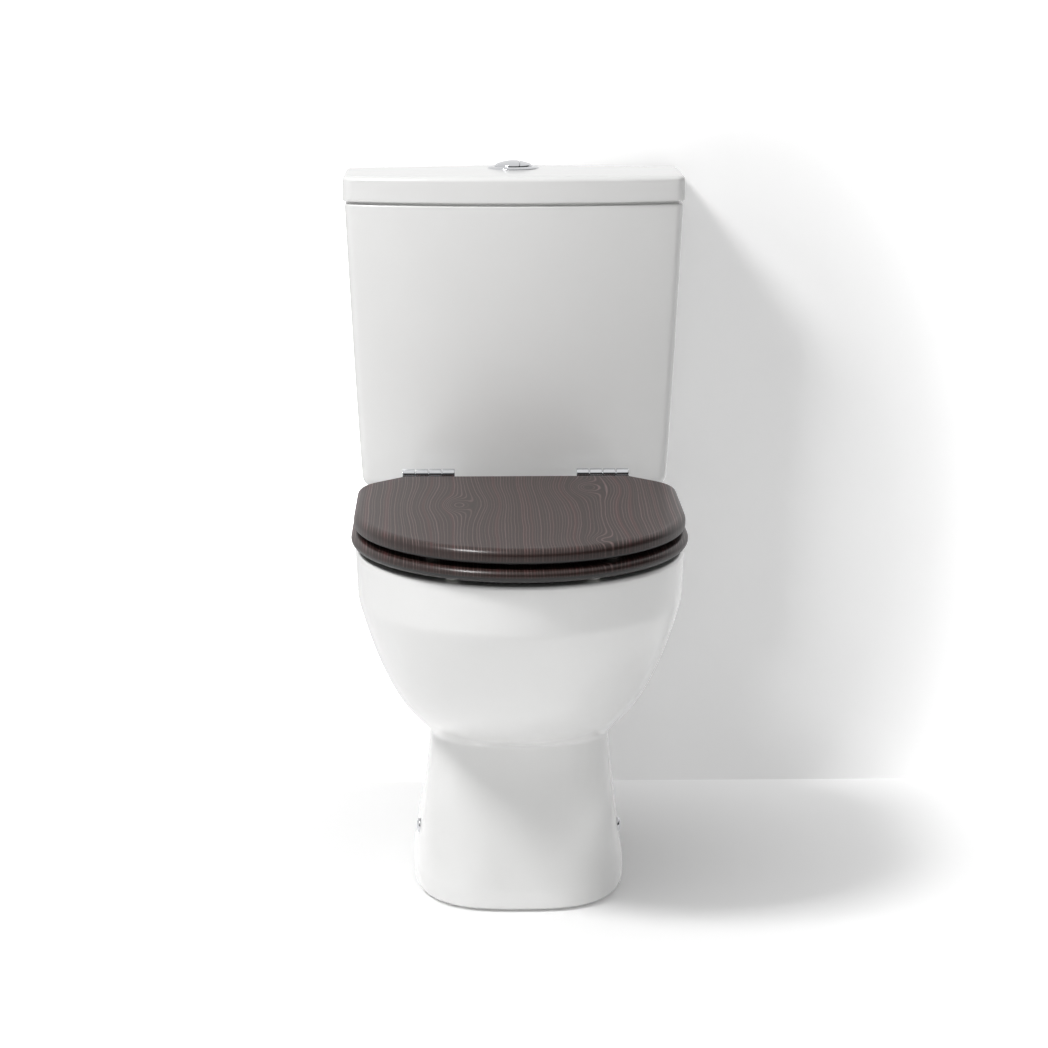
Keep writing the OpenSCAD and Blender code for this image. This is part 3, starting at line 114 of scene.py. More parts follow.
class ToiletColours(bpy.types.PropertyGroup):
    """Colours of the finishes, as they look under white light."""

    glaze: colour("Glaze", "White glaze of the china", "#F0F0EF")
    veneer_ground: colour("Veneer ground", "Stained wood between the grain lines", "#2F1C17")
    veneer_line: colour("Veneer line", "Paler lines of the grain", "#7A6361")
    veneer_red: colour("Veneer red", "Reddish bands of the grain", "#4C2625")
    # The late wood colour also darkens the seat's upright edges as painted shade
    veneer_late_wood_and_edge_shade: colour("Veneer dark", "Dark late wood between the lines", "#231714")
    # This colour is painted shade on every face of the seat and its lid that points down
    veneer_underside_shade: colour("Sealer", "Dark sealer under the seat and its lid", "#191818")
    chrome: colour("Chrome", "Chromium plate", "#D6D7DA")
    zinc: colour("Zinc", "Zinc plated steel", "#A9ABAD")
    white_plastic: colour("White plastic", "White moulded polypropylene", "#DDDEDC")
    blue_plastic: colour("Blue plastic", "Blue moulded polypropylene", "#2F6AA8")
    grey_plastic: colour("Grey plastic", "Grey moulded polystyrene foam", "#C2C4C3")
    black_rubber: colour("Black rubber", "Moulded black rubber", "#1B1B1C")
    pale_rubber: colour("White rubber", "White moulded buffer rubber", "#E2E1DC")


# Outlines and blends

def mix(a, b, t):
    return a + (b - a) * t


def clamp01(t):
    return min(1.0, max(0.0, t))


def ease(t):
    s = clamp01(t)
    return s * s * (3 - 2 * s)


def steps(low, high, count):
    """Evenly spaced values from low to high, both included."""
    return [low + (high - low) * i / count for i in range(count + 1)]


def oval_radius(angle, half_w, half_l, power):
    """Distance from a superellipse's centre to its edge in one direction."""
    across = (abs(cos(angle)) / half_w) ** power
    along = (abs(sin(angle)) / half_l) ** power
    return (across + along) ** (-1 / power)


def oval_outside(x, y, middle_y, half_w, front_l, back_l, front_p, back_p):
    """How far a point lies outside a plan oval with different fronts and backs."""
    dy = y - middle_y
    ahead = dy < 0
    edge = oval_radius(atan2(dy, x), half_w, front_l if ahead else back_l, front_p if ahead else back_p)
    return hypot(x, dy) - edge


def arc(centre, r, start, turn, count):
    """Points round an arc in plan."""
    return [(centre[0] + r * cos(a), centre[1] + r * sin(a)) for a in steps(start, start + turn, count)]


def quarter(r, count, start=0.0, end=QUARTER):
    """Steps round an edge of this radius: how far in from the side each is, and how far from the end."""
    return [(r * (1 - cos(a)), r * (1 - sin(a))) for a in steps(start, end, count)]


def fillet_min(a, b, size):
    """The smaller of two distances, with a fillet where they are alike."""
    h = max(size - abs(a - b), 0) / size
    return min(a, b) - h * h * size / 4


# Mesh making

def ring_edges(ring):
    """The edges round a closed ring of vertices."""
    edges = []
    for a, b in zip(ring, ring[1:] + ring[:1]):
        edges.append(next(e for e in a.link_edges if e.other_vert(a) is b))
    return edges


def start_ring(bm, points):
    """A circle of vertices moved onto the points."""
    ring = bmesh.ops.create_circle(bm, segments=len(points), radius=1)["verts"]
    for vert, point in zip(ring, points):
        vert.co = point
    return ring


def pull_ring(bm, ring, points):
    """Extrudes a ring's edges and moves the new ring onto the points."""
    made = bmesh.ops.extrude_edge_only(bm, edges=ring_edges(ring))["geom"]
    fresh = {g for g in made if isinstance(g, bmesh.types.BMVert)}
    pulled = [next(e.other_vert(v) for e in v.link_edges if e.other_vert(v) in fresh) for v in ring]
    for vert, point in zip(pulled, points):
        vert.co = point
    return pulled


def loft(rings, closed=False):
    """A skin through a list of rings, capped at both ends or joined into a tube."""
    bm = bmesh.new()
    first = ring = start_ring(bm, rings[0])
    for points in rings[1:]:
        ring = pull_ring(bm, ring, points)
    if closed:
        bmesh.ops.bridge_loops(bm, edges=ring_edges(ring) + ring_edges(first))
    else:
        bmesh.ops.contextual_create(bm, geom=ring_edges(first))
        bmesh.ops.contextual_create(bm, geom=ring_edges(ring))
    bmesh.ops.recalc_face_normals(bm, faces=bm.faces)
    return bm


def turned(profile, count=48):
    """Spins a profile of radius and height round the Z axis into a closed shape."""
    bm = bmesh.new()
    verts = [bm.verts.new((r, 0, z)) for r, z in profile]
    pairs = list(zip(verts, verts[1:]))
    if profile[0][0] > 0 or profile[-1][0] > 0:
        pairs.append((verts[-1], verts[0]))
    # An edge along the axis would leave a loose line inside the shape
    edges = [bm.edges.new(pair) for pair in pairs if pair[0].co.x or pair[1].co.x]
    bmesh.ops.spin(
        bm, geom=verts + edges, cent=(0, 0, 0), axis=(0, 0, 1), dvec=(0, 0, 0),
        angle=TURN, steps=count, use_merge=True)
    bmesh.ops.remove_doubles(bm, verts=bm.verts, dist=0.001)
    bmesh.ops.recalc_face_normals(bm, faces=bm.faces)
    return bm


def rounded_profile(points, radius, count=3):
    """A profile with each corner that lies off the axis cut to a small arc."""
    out = []
    closed = points[0][0] > 0 or points[-1][0] > 0
    for i, point in enumerate(points):
        before = points[i - 1] if i or closed else None
        after = points[(i + 1) % len(points)] if i < len(points) - 1 or closed else None
        if before is None or after is None:
            out.append(point)
            continue
        corner, a, b = Vector(point), Vector(before), Vector(after)
        to_a, to_b = a - corner, b - corner
        cut = min(radius, to_a.length * 0.45, to_b.length * 0.45)
        p, q = corner + to_a.normalized() * cut, corner + to_b.normalized() * cut
        for t in steps(0, 1, count):
            spot = p.lerp(corner, t).lerp(corner.lerp(q, t), t)
            out.append((max(spot.x, 0.0), spot.y))
    return out


def spun(points, edge, count=48, cuts=3):
    """A turned shape with each corner of its profile rounded."""
    return turned(rounded_profile(points, edge, cuts), count)


def tube(outer, inner, low, high, edge=0.5, count=48):
    return spun([(inner, low), (outer, low), (outer, high), (inner, high)], edge, count)


def rod(radius, low, high, edge=0.5, count=48):
    return spun([(0, low), (radius, low), (radius, high), (0, high)], edge, count)


def thread(radius, low, high, pitch, depth, count=24):
    """A rod whose outside is cut into ridges, one for each turn of its thread."""
    turns = max(1, int((high - low - 2) / pitch))
    points = [(0, low), (radius - depth, low)]
    z = low + 1
    for _ in range(turns):
        points += [(radius - depth, z), (radius, z + pitch * 0.45)]
        z += pitch
    return turned(points + [(radius - depth, z), (radius - depth, high), (0, high)], count)


def soften(bm, edges, radius, segments=2):
    """Rounds some edges."""
    bmesh.ops.bevel(bm, geom=edges, offset=radius, segments=segments, profile=0.5, affect="EDGES", material=-1)
    return bm


def spread(edge, axis):
    """How far an edge reaches along one axis."""
    return abs(edge.verts[0].co[axis] - edge.verts[1].co[axis])


def block(low, high, bevel=0.8):
    """A box between two corners with its edges rounded."""
    bm = bmesh.new()
    low, high = Vector(low), Vector(high)
    bmesh.ops.create_cube(
        bm, size=1, matrix=Matrix.Translation((high + low) / 2) @ Matrix.Diagonal((*(high - low), 1)))
    return soften(bm, bm.edges[:], bevel) if bevel else bm


def prism(radius, low, high, bevel=0.5):
    """The body of a hexagon nut or head."""
    bm = bmesh.new()
    bmesh.ops.create_cone(
        bm, cap_ends=True, segments=6, radius1=radius, radius2=radius, depth=high - low,
        matrix=shift(0, 0, (low + high) / 2))
    return soften(bm, bm.edges[:], bevel)


def placed(bm, *matrices):
    """Moves a mesh by the matrices, the last one first."""
    whole = Matrix.Identity(4)
    for matrix in matrices:
        whole = whole @ matrix
    bm.transform(whole)
    if whole.determinant() < 0:
        bmesh.ops.reverse_faces(bm, faces=bm.faces)
    return bm


def shift(x=0, y=0, z=0):
    return Matrix.Translation((x, y, z))


# Turns a shape that stands on Z so that it lies along X or Y
ALONG_X = Matrix.Rotation(QUARTER, 4, "Y")
ALONG_Y = Matrix.Rotation(-QUARTER, 4, "X")
MIRROR_X = Matrix.Diagonal((-1, 1, 1, 1))


def joined(*parts):
    """One mesh from several, which are freed."""
    whole = bmesh.new()
    for part in parts:
        mesh = bpy.data.meshes.new("part")
        part.to_mesh(mesh)
        part.free()
        whole.from_mesh(mesh)
        bpy.data.meshes.remove(mesh)
    return whole


def both_sides(bm):
    """A mesh and its mirror image across the middle."""
    return joined(bm.copy(), placed(bm, MIRROR_X))


def shade(bm, sharp):
    """Smooth faces, with edges over an angle in degrees kept sharp."""
    limit = radians(sharp)
    for face in bm.faces:
        face.smooth = True
    for edge in bm.edges:
        edge.smooth = not (edge.is_manifold and edge.calc_face_angle(0) > limit)


def around(bm, count, first=0.0):
    """Copies of a mesh evenly spaced round the axis."""
    turns = [Matrix.Rotation(first + TURN * i / count, 4, "Z") for i in range(count)]
    copies = joined(*[placed(bm.copy(), turn) for turn in turns])
    bm.free()
    return copies


def to_object(bm, name, sharp=SHARP):
    """A smooth-shaded object in metres, from a mesh in millimetres."""
    bm.transform(Matrix.Scale(MM, 4))
    shade(bm, sharp)
    mesh = bpy.data.meshes.new(name)
    bm.to_mesh(mesh)
    bm.free()
    obj = bpy.data.objects.new(name, mesh)
    bpy.context.scene.collection.objects.link(obj)
    return obj


def carve(obj, cutter, operation="DIFFERENCE", sharp=SHARP):
    """Joins a mesh to an object or cuts it out of it, and keeps the result as its mesh."""
    tool = to_object(cutter, "cutter")
    change = obj.modifiers.new("carve", "BOOLEAN")
    change.object, change.operation, change.solver = tool, operation, "MANIFOLD"
    bpy.context.view_layer.update()
    shaped = bpy.data.meshes.new_from_object(obj.evaluated_get(bpy.context.evaluated_depsgraph_get()))
    obj.modifiers.clear()
    obj.data = shaped
    shaped.name = obj.name
    bpy.data.objects.remove(tool)
    bm = bmesh.new()
    bm.from_mesh(shaped)
    bmesh.ops.dissolve_degenerate(bm, dist=0.00001, edges=bm.edges)
    shade(bm, sharp)
    bm.to_mesh(shaped)
    bm.free()
    return obj


def dress(obj, body, slot, *nodes):
    """Gives a finished object the material of its slot, its body and the solids that it stands for."""
    obj.data.materials.clear()
    obj.data.materials.append(finish(slot))
    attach(obj, body)
    if nodes:
        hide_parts(*nodes)
    return obj


def made(bm, name, body, slot, node, sharp=SHARP):
    """A finished piece from a mesh in millimetres, in place of one solid."""
    return dress(to_object(bm, name, sharp), body, slot, node)


# Materials

def new_material(name):
    material = bpy.data.materials.get(name)
    if material:
        return material, None, None
    material = bpy.data.materials.new(name)
    material.use_nodes = True
    tree = material.node_tree
    return material, tree, tree.nodes["Principled BSDF"]


def add(tree, kind, links=None, **settings):
    """Adds a node, sets its properties and input values, and links its inputs."""
    node = tree.nodes.new(kind)
    for key, value in settings.items():
        if key.startswith("in_"):
            slot = key[3:]
            node.inputs[int(slot) if slot.isdigit() else slot.replace("_", " ")].default_value = value
        else:
            setattr(node, key, value)
    for slot, source in (links or {}).items():
        tree.links.new(source, node.inputs[slot])
    return node


def set_inputs(shader, **values):
    for key, value in values.items():
        shader.inputs[key.replace("_", " ")].default_value = value


def ramp(tree, factor, stops):
    """A colour ramp through (place, colour) stops."""
    node = add(tree, "ShaderNodeValToRGB", {"Fac": factor})
    marks = node.color_ramp.elements
    while len(marks) < len(stops):
        marks.new(0.5)
    for mark, (place, tone) in zip(marks, stops):
        mark.position = place
        mark.color = (*tone, 1)
    return node.outputs["Color"]


def grey(value):
    return (value, value, value)


def object_space(tree, scale=(1, 1, 1), place=(0, 0, 0)):
    where = add(tree, "ShaderNodeTexCoord")
    return add(
        tree, "ShaderNodeMapping", {"Vector": where.outputs["Object"]}, in_Location=place,
        in_Scale=scale).outputs["Vector"]


def glazed_china(colours):
    """Vitreous china, slip cast and dipped in a white tin glaze.

    The glaze is a clear glossy coat over a bright body. It pulls into faint waves a few centimetres
    long and a finer orange peel, which bend reflections.
    """
    material, tree, shader = new_material("glazed_vitreous_china")
    if tree is None:
        return material
    space = object_space(tree)
    # Waves in the glaze, about 30 mm long
    waves = add(tree, "ShaderNodeTexNoise", {"Vector": space}, in_Scale=33.0, in_Detail=2.0)
    # Orange peel, about 2 mm across
    peel = add(tree, "ShaderNodeTexNoise", {"Vector": space}, in_Scale=500.0, in_Detail=1.0)
    both = add(
        tree, "ShaderNodeMath", {0: peel.outputs["Fac"], 2: waves.outputs["Fac"]},
        operation="MULTIPLY_ADD", in_1=0.02)
    bump = add(tree, "ShaderNodeBump", {"Height": both.outputs[0]}, in_Strength=0.25, in_Distance=0.0006)
    clouds = add(tree, "ShaderNodeTexNoise", {"Vector": space}, in_Scale=9.0, in_Detail=3.0)
    tint = ramp(tree, clouds.outputs["Fac"], [
        (0.35, tuple(c * 0.985 for c in colours.glaze)), (0.65, tuple(colours.glaze))])
    tree.links.new(tint, shader.inputs["Base Color"])
    tree.links.new(bump.outputs["Normal"], shader.inputs["Coat Normal"])
    set_inputs(shader, Roughness=0.32, IOR=1.5, Coat_Weight=1.0, Coat_Roughness=0.17, Coat_IOR=1.52)
    return material


# Knots in the lid's veneer: centre, half width and half length of the swerve, and share of the width it takes
KNOTS = [
    (-0.068, -0.082, 0.038, 0.080, 0.62),
    (0.078, 0.020, 0.042, 0.085, 0.62),
    (0.080, -0.275, 0.036, 0.060, 0.34),
    (-0.135, -0.290, 0.026, 0.050, 0.36),
]


def bell(tree, where, cx, cy, wide, long):
    """One at a place in plan and falling off round it over a half width and a half length."""
    near = add(
        tree, "ShaderNodeMapping", {"Vector": where}, in_Location=(-cx / wide, -cy / long, 0),
        in_Scale=(1 / wide, 1 / long, 0)).outputs["Vector"]
    square = add(tree, "ShaderNodeVectorMath", {0: near, 1: near}, operation="DOT_PRODUCT").outputs["Value"]
    fall = add(tree, "ShaderNodeMath", {0: square}, operation="MULTIPLY", in_1=-1.0).outputs[0]
    return add(tree, "ShaderNodeMath", {0: fall}, operation="EXPONENT").outputs[0]


def stained_veneer(colours, spacing):
    """Oak veneer stained dark wenge, under a buffed satin lacquer.

    Fine pale lines run from the hinges to the front over a dark ground. They swerve round a few
    knots, whose own rings close, and reddish bands lie between some of them.
    """
    material, tree, shader = new_material("stained_wenge_veneer")
    if tree is None:
        return material

    def maths(operation, a, b):
        links = {i: v for i, v in enumerate((a, b)) if not isinstance(v, (int, float))}
        plain_values = {f"in_{i}": v for i, v in enumerate((a, b)) if isinstance(v, (int, float))}
        return add(tree, "ShaderNodeMath", links, operation=operation, **plain_values).outputs[0]

    place = add(tree, "ShaderNodeTexCoord")
    where = place.outputs["Object"]
    across = add(tree, "ShaderNodeSeparateXYZ", {"Vector": where}).outputs["X"]
    # Slow wander of the grain, over some 60 mm across and 160 mm along
    wander = add(
        tree, "ShaderNodeTexNoise",
        {"Vector": add(tree, "ShaderNodeMapping", {"Vector": where}, in_Scale=(16, 6, 16)).outputs["Vector"]},
        in_Scale=1.0, in_Detail=2.0)
    total = maths("ADD", across, maths("MULTIPLY", maths("SUBTRACT", wander.outputs["Fac"], 0.5), 0.007))
    for cx, cy, wide, long, share in KNOTS:
        # Lines spread to both sides of the knot, and the core's own rings close round it
        swerve = maths(
            "MULTIPLY", maths("SUBTRACT", across, cx),
            maths("MULTIPLY", bell(tree, where, cx, cy, wide, long), share))
        core = maths("MULTIPLY", bell(tree, where, cx, cy, wide * 0.36, long * 0.42), share * 0.03)
        total = maths("ADD", maths("SUBTRACT", total, swerve), core)
    # Evenly grown lines with some jitter, each a third as wide as its spacing
    jitter = add(tree, "ShaderNodeTexNoise", {"W": total}, noise_dimensions="1D", in_Scale=90.0, in_Detail=2.0)
    turns = maths(
        "ADD", maths("MULTIPLY", total, TURN / (spacing * MM)), maths("MULTIPLY", jitter.outputs["Fac"], 9.0))
    lines = maths("SINE", turns, 0.0)
    strength = add(tree, "ShaderNodeTexNoise", {"W": total}, noise_dimensions="1D", in_Scale=210.0, in_Detail=1.0)
    line_mask = maths(
        "MULTIPLY", ramp(tree, lines, [(0.45, grey(0.0)), (0.98, grey(0.85))]),
        ramp(tree, strength.outputs["Fac"], [(0.3, grey(0.15)), (0.62, grey(1.0))]))
    bands = add(tree, "ShaderNodeTexNoise", {"W": total}, noise_dimensions="1D", in_Scale=130.0, in_Detail=1.5)
    fine = add(tree, "ShaderNodeTexNoise", {"W": total}, noise_dimensions="1D", in_Scale=900.0, in_Detail=1.0)
    # Pores, 0.4 mm wide and some 15 mm long
    pores = add(
        tree, "ShaderNodeTexNoise",
        {"Vector": add(tree, "ShaderNodeMapping", {"Vector": where}, in_Scale=(1900, 70, 1900)).outputs["Vector"]},
        in_Scale=1.0, in_Detail=2.0)
    ground = ramp(
        tree, fine.outputs["Fac"], [(0.36, tuple(colours.veneer_late_wood_and_edge_shade)), (0.56, tuple(colours.veneer_ground))])
    band_mask = ramp(tree, bands.outputs["Fac"], [(0.56, grey(0.0)), (0.68, grey(0.65))])
    banded = add(
        tree, "ShaderNodeMix", {"Factor": band_mask, 6: ground}, data_type="RGBA", in_7=(*colours.veneer_red, 1))
    lined = add(
        tree, "ShaderNodeMix", {"Factor": line_mask, 6: banded.outputs[2]}, data_type="RGBA",
        in_7=(*colours.veneer_line, 1))
    pore_mask = ramp(tree, pores.outputs["Fac"], [(0.36, grey(0.7)), (0.5, grey(1.0))])
    toned = add(
        tree, "ShaderNodeMix", {6: lined.outputs[2], 7: pore_mask}, data_type="RGBA", blend_type="MULTIPLY",
        in_Factor=1.0)
    # Faces that turn downward, from a little below the middle of each edge, go dark grey: painted shade under the
    # seat and its lid
    upward = add(tree, "ShaderNodeSeparateXYZ", {"Vector": place.outputs["Normal"]}).outputs["Z"]
    under = ramp(tree, maths("MULTIPLY", upward, -1.0), [(0.12, grey(0.0)), (0.22, grey(1.0))])
    # Upright faces are darkened towards the late wood colour by how they face: painted shade on the edges
    edge = ramp(tree, maths("ABSOLUTE", upward, 0.0), [(0.3, grey(0.7)), (0.85, grey(0.0))])
    edge_shaded = add(
        tree, "ShaderNodeMix", {"Factor": edge, 6: toned.outputs[2]}, data_type="RGBA",
        in_7=(*colours.veneer_late_wood_and_edge_shade, 1))
    underside_shaded = add(
        tree, "ShaderNodeMix", {"Factor": under, 6: edge_shaded.outputs[2]}, data_type="RGBA",
        in_7=(*colours.veneer_underside_shade, 1))
    tree.links.new(underside_shaded.outputs[2], shader.inputs["Base Color"])
    pressed = add(tree, "ShaderNodeBump", {"Height": pores.outputs["Fac"]}, in_Strength=0.12, in_Distance=0.0002)
    tree.links.new(pressed.outputs["Normal"], shader.inputs["Normal"])
    # The lacquer lies in long shallow waves
    flow = add(tree, "ShaderNodeTexNoise", {"Vector": where}, in_Scale=60.0, in_Detail=1.0)
    skin = add(tree, "ShaderNodeBump", {"Height": flow.outputs["Fac"]}, in_Strength=0.12, in_Distance=0.0004)
    tree.links.new(skin.outputs["Normal"], shader.inputs["Coat Normal"])
    set_inputs(
        shader, Roughness=0.5, IOR=1.45, Specular_IOR_Level=0.15,
        Coat_Weight=0.3, Coat_Roughness=0.29, Coat_IOR=1.9)
    return material


def metal(name, tone, rough, streak=0.0):
    """A plated or cast metal: even colour, with faint polishing marks that break the reflections."""
    material, tree, shader = new_material(name)
    if tree is None:
        return material
    # Polishing marks, a third of a millimetre apart
    marks = add(
        tree, "ShaderNodeTexNoise", {"Vector": object_space(tree, (600, 3000, 3000))},
        in_Scale=1.0, in_Detail=2.0)
    dull = ramp(tree, marks.outputs["Fac"], [(0.3, grey(rough)), (0.7, grey(rough * 1.5 + streak))])
    tree.links.new(dull, shader.inputs["Roughness"])
    patches = add(tree, "ShaderNodeTexNoise", {"Vector": object_space(tree)}, in_Scale=40.0, in_Detail=3.0)
    tint = ramp(tree, patches.outputs["Fac"], [(0.3, tuple(c * 0.93 for c in tone)), (0.7, tuple(tone))])
    tree.links.new(tint, shader.inputs["Base Color"])
    set_inputs(shader, Metallic=1.0)
    return material


def moulded(name, tone, rough, grain=0.00003, ior=1.46):
    """An injection moulded plastic or rubber with a fine spark-eroded grain."""
    material, tree, shader = new_material(name)
    if tree is None:
        return material
    # Mould grain, about half a millimetre across
    texture = add(tree, "ShaderNodeTexNoise", {"Vector": object_space(tree)}, in_Scale=1900.0, in_Detail=2.0)
    bump = add(tree, "ShaderNodeBump", {"Height": texture.outputs["Fac"]}, in_Strength=0.5, in_Distance=grain)
    flow = add(tree, "ShaderNodeTexNoise", {"Vector": object_space(tree)}, in_Scale=30.0, in_Detail=3.0)
    tint = ramp(tree, flow.outputs["Fac"], [(0.3, tuple(c * 0.94 for c in tone)), (0.7, tuple(tone))])
    tree.links.new(tint, shader.inputs["Base Color"])
    tree.links.new(bump.outputs["Normal"], shader.inputs["Normal"])
    set_inputs(shader, Roughness=rough, IOR=ior)
    return material


# Slots of the metals: name, colour, roughness and how much duller it gets in places
METALS = {
    "chrome": ("bright_chromium_plate", "chrome", 0.05),
    "steel": ("zinc_plated_steel", "zinc", 0.3, 0.1),
    "spring_steel": ("drawn_spring_steel", "zinc", 0.22, 0.05),
}
# Slots of the plastics and rubbers: name, colour, roughness, depth of the mould's grain in metres and IOR
MOULDINGS = {
    "white_plastic": ("moulded_white_polypropylene", "white_plastic", 0.38),
    "blue_plastic": ("moulded_blue_polypropylene", "blue_plastic", 0.36),
    "grey_plastic": ("moulded_grey_float_foam", "grey_plastic", 0.6, 0.00012),
    "black_rubber": ("moulded_black_rubber", "black_rubber", 0.62, 0.00005, 1.52),
    "pale_rubber": ("moulded_white_rubber", "pale_rubber", 0.45, 0.00003, 1.5),
}


def finish(slot):
    """The material of a slot, which is made when it is first asked for."""
    scene = bpy.context.scene
    colours = scene.toilet_colours
    if slot == "china":
        return glazed_china(colours)
    if slot == "veneer":
        return stained_veneer(colours, scene.toilet_sizes.grain)
    make = metal if slot in METALS else moulded
    name, tone, *surface = (METALS if slot in METALS else MOULDINGS)[slot]
    return make(name, getattr(colours, tone), *surface)


# Shared places, in millimetres

# Gap between pieces that sit on each other
SEATED = 0.3


def layout(context):
    """Every derived place of the object, from the sizes and the solids' boxes."""
    sizes = context.scene.toilet_sizes
    s = SimpleNamespace(rim_h=sizes.rim_h, rim_w=sizes.rim_w, foot_w=sizes.foot_w, bullnose_r=sizes.bullnose_r)
    s.back_y = COVER_HIGH.y
    s.rim_front_y = PAN_LOW.y
    s.nose_len = 207
    s.bowl_y = s.rim_front_y + s.nose_len
    s.hinge_y = s.back_y - 217
    s.seat_back_y = s.hinge_y - 8
    s.valve_y = s.back_y - 85
    s.foot_front_y = s.rim_front_y + 135
    s.foot_back_y = s.foot_front_y + 373
    s.deck_back_y = PAN_HIGH.y
    s.spigot_end_y = s.back_y - 67
    s.spine_back_y = s.spigot_end_y - 55
    s.column_y = s.bowl_y + 46
    s.loft_y = s.bowl_y + 61
    s.crease_h = s.rim_h - sizes.crease_drop
    s.base_h = 178
    s.spine_half_w = 54
    s.outlet_h = 190
    s.mouth_half_w, s.mouth_half_l = sizes.mouth_w / 2, sizes.mouth_l / 2
    s.wall = 15
    s.deck_w = 236
    s.deck_edge_h, s.deck_blend_h = 46, 30
    s.deck_under = s.rim_h - 15
    s.tank_z, s.tank_top = TANK_LOW.z, TANK_HIGH.z
    s.tank_floor = s.tank_z + 12
    s.cover_z = s.tank_top + SEATED
    s.cover_top = COVER_HIGH.z
    s.ring_z, s.ring_top = RING_LOW.z, RING_HIGH.z
    s.lid_z, s.lid_top = LID_LOW.z, LID_HIGH.z
    s.axis_z = s.lid_top - 1
    s.bolt_x, s.coupling_x, s.inlet_x = 77.5, 75, -138
    s.side_y = s.foot_front_y + 128
    return s


ROUND = 144
BACK_SHARE = 0.92
# Thickness of the domed caps at the sides of the foot
CAP_T = 4.4
# Height of the fixings at the sides of the foot
SIDE_H = 60
# Slip casting leaves no sharp edge where the bowl meets the column, only round the cut holes
PAN_SHARP = 70


def bowl_half(s, z, at_rim, power):
    """Half a size of the bowl at a height: nearly upright above the soft crease, curving in below it."""
    at_crease = at_rim - 2.5
    band = mix(at_crease, at_rim, (z - s.crease_h) / (s.rim_h - s.crease_h))
    body = at_crease * max(0.0, (z - s.base_h) / (s.crease_h - s.base_h)) ** power
    return fillet_min(band, body, 2)


def bowl_half_w(s, z):
    return bowl_half(s, z, s.rim_w / 2, 0.25)


def bowl_half_l(s, z):
    return bowl_half(s, z, s.nose_len, 0.4)


def column_oval(s, z):
    """The pedestal's plan at a height: the foot tapers into the column."""
    taper = 1 - (1 - clamp01((z - 20) / 180)) ** 1.3
    swing = ease((z - 40) / 80)
    half_w = mix(s.foot_w, 192, taper) / 2
    front = s.foot_front_y + 27 * taper
    middle = mix((s.foot_front_y + s.foot_back_y) / 2, s.column_y, swing)
    back = mix(s.foot_back_y, s.column_y + 96, swing)
    power = mix(3, 4.5, ease((z - 20) / 120))
    return middle, half_w, middle - front, back - middle, power


def china_outside(s, x, y, z):
    """How far a point lies outside the china, from the bowl, column, spine and deck blended."""
    bowl = column = 1000.0
    if z > s.base_h + 0.2:
        half_l = bowl_half_l(s, z)
        bowl = oval_outside(x, y, s.bowl_y, bowl_half_w(s, z), half_l, half_l * BACK_SHARE, 2, 2.6)
    if z < s.base_h + 62:
        middle, half_w, front_l, back_l, power = column_oval(s, z)
        column = oval_outside(x, y, middle, half_w, front_l, back_l, power, power)
    spine_y = s.bowl_y + 60
    spine = oval_outside(
        x, y, spine_y, s.spine_half_w, 60, s.spine_back_y - spine_y - 30 * ease((z - 250) / 60), 2, 7)
    t = ease((z - (s.rim_h - s.deck_edge_h - s.deck_blend_h)) / s.deck_blend_h)
    deck_y = s.bowl_y + 100
    back_y = mix(s.spine_back_y - 30, s.deck_back_y, t)
    deck = oval_outside(x, y, deck_y, mix(s.spine_half_w, s.deck_w / 2, t), 100, back_y - deck_y, 2, 9)
    return fillet_min(fillet_min(fillet_min(bowl, column, 22), spine, 30), deck, 60)


def china_ring(s, z, inset=0.0, lift=None):
    """One ring of the china's outside at a height, found by halving along each ray."""
    points = []
    for i in range(ROUND):
        angle = TURN * i / ROUND
        c, d = cos(angle), sin(angle)
        low, high = 0.0, 500.0
        for _ in range(18):
            middle = (low + high) / 2
            if china_outside(s, middle * c, s.loft_y + middle * d, z) < 0:
                low = middle
            else:
                high = middle
        r = (low + high) / 2 - inset
        points.append((r * c, s.loft_y + r * d, z if lift is None else lift))
    return points


def ellipse_ring(middle_y, half_w, front_l, back_l, z):
    points = []
    for i in range(ROUND):
        angle = TURN * i / ROUND
        reach = front_l if angle > pi else back_l
        points.append((half_w * cos(angle), middle_y + reach * sin(angle), z))
    return points


TRAP_R, TRAP_BEND_R, ELBOW_R = 37, 60, 45


def trap_ring(y, z, slope):
    points = []
    for i in range(ROUND):
        angle = TURN * i / ROUND
        side = TRAP_R * sin(angle)
        points.append((TRAP_R * cos(angle), y - side * sin(slope), z + side * cos(slope)))
    return points


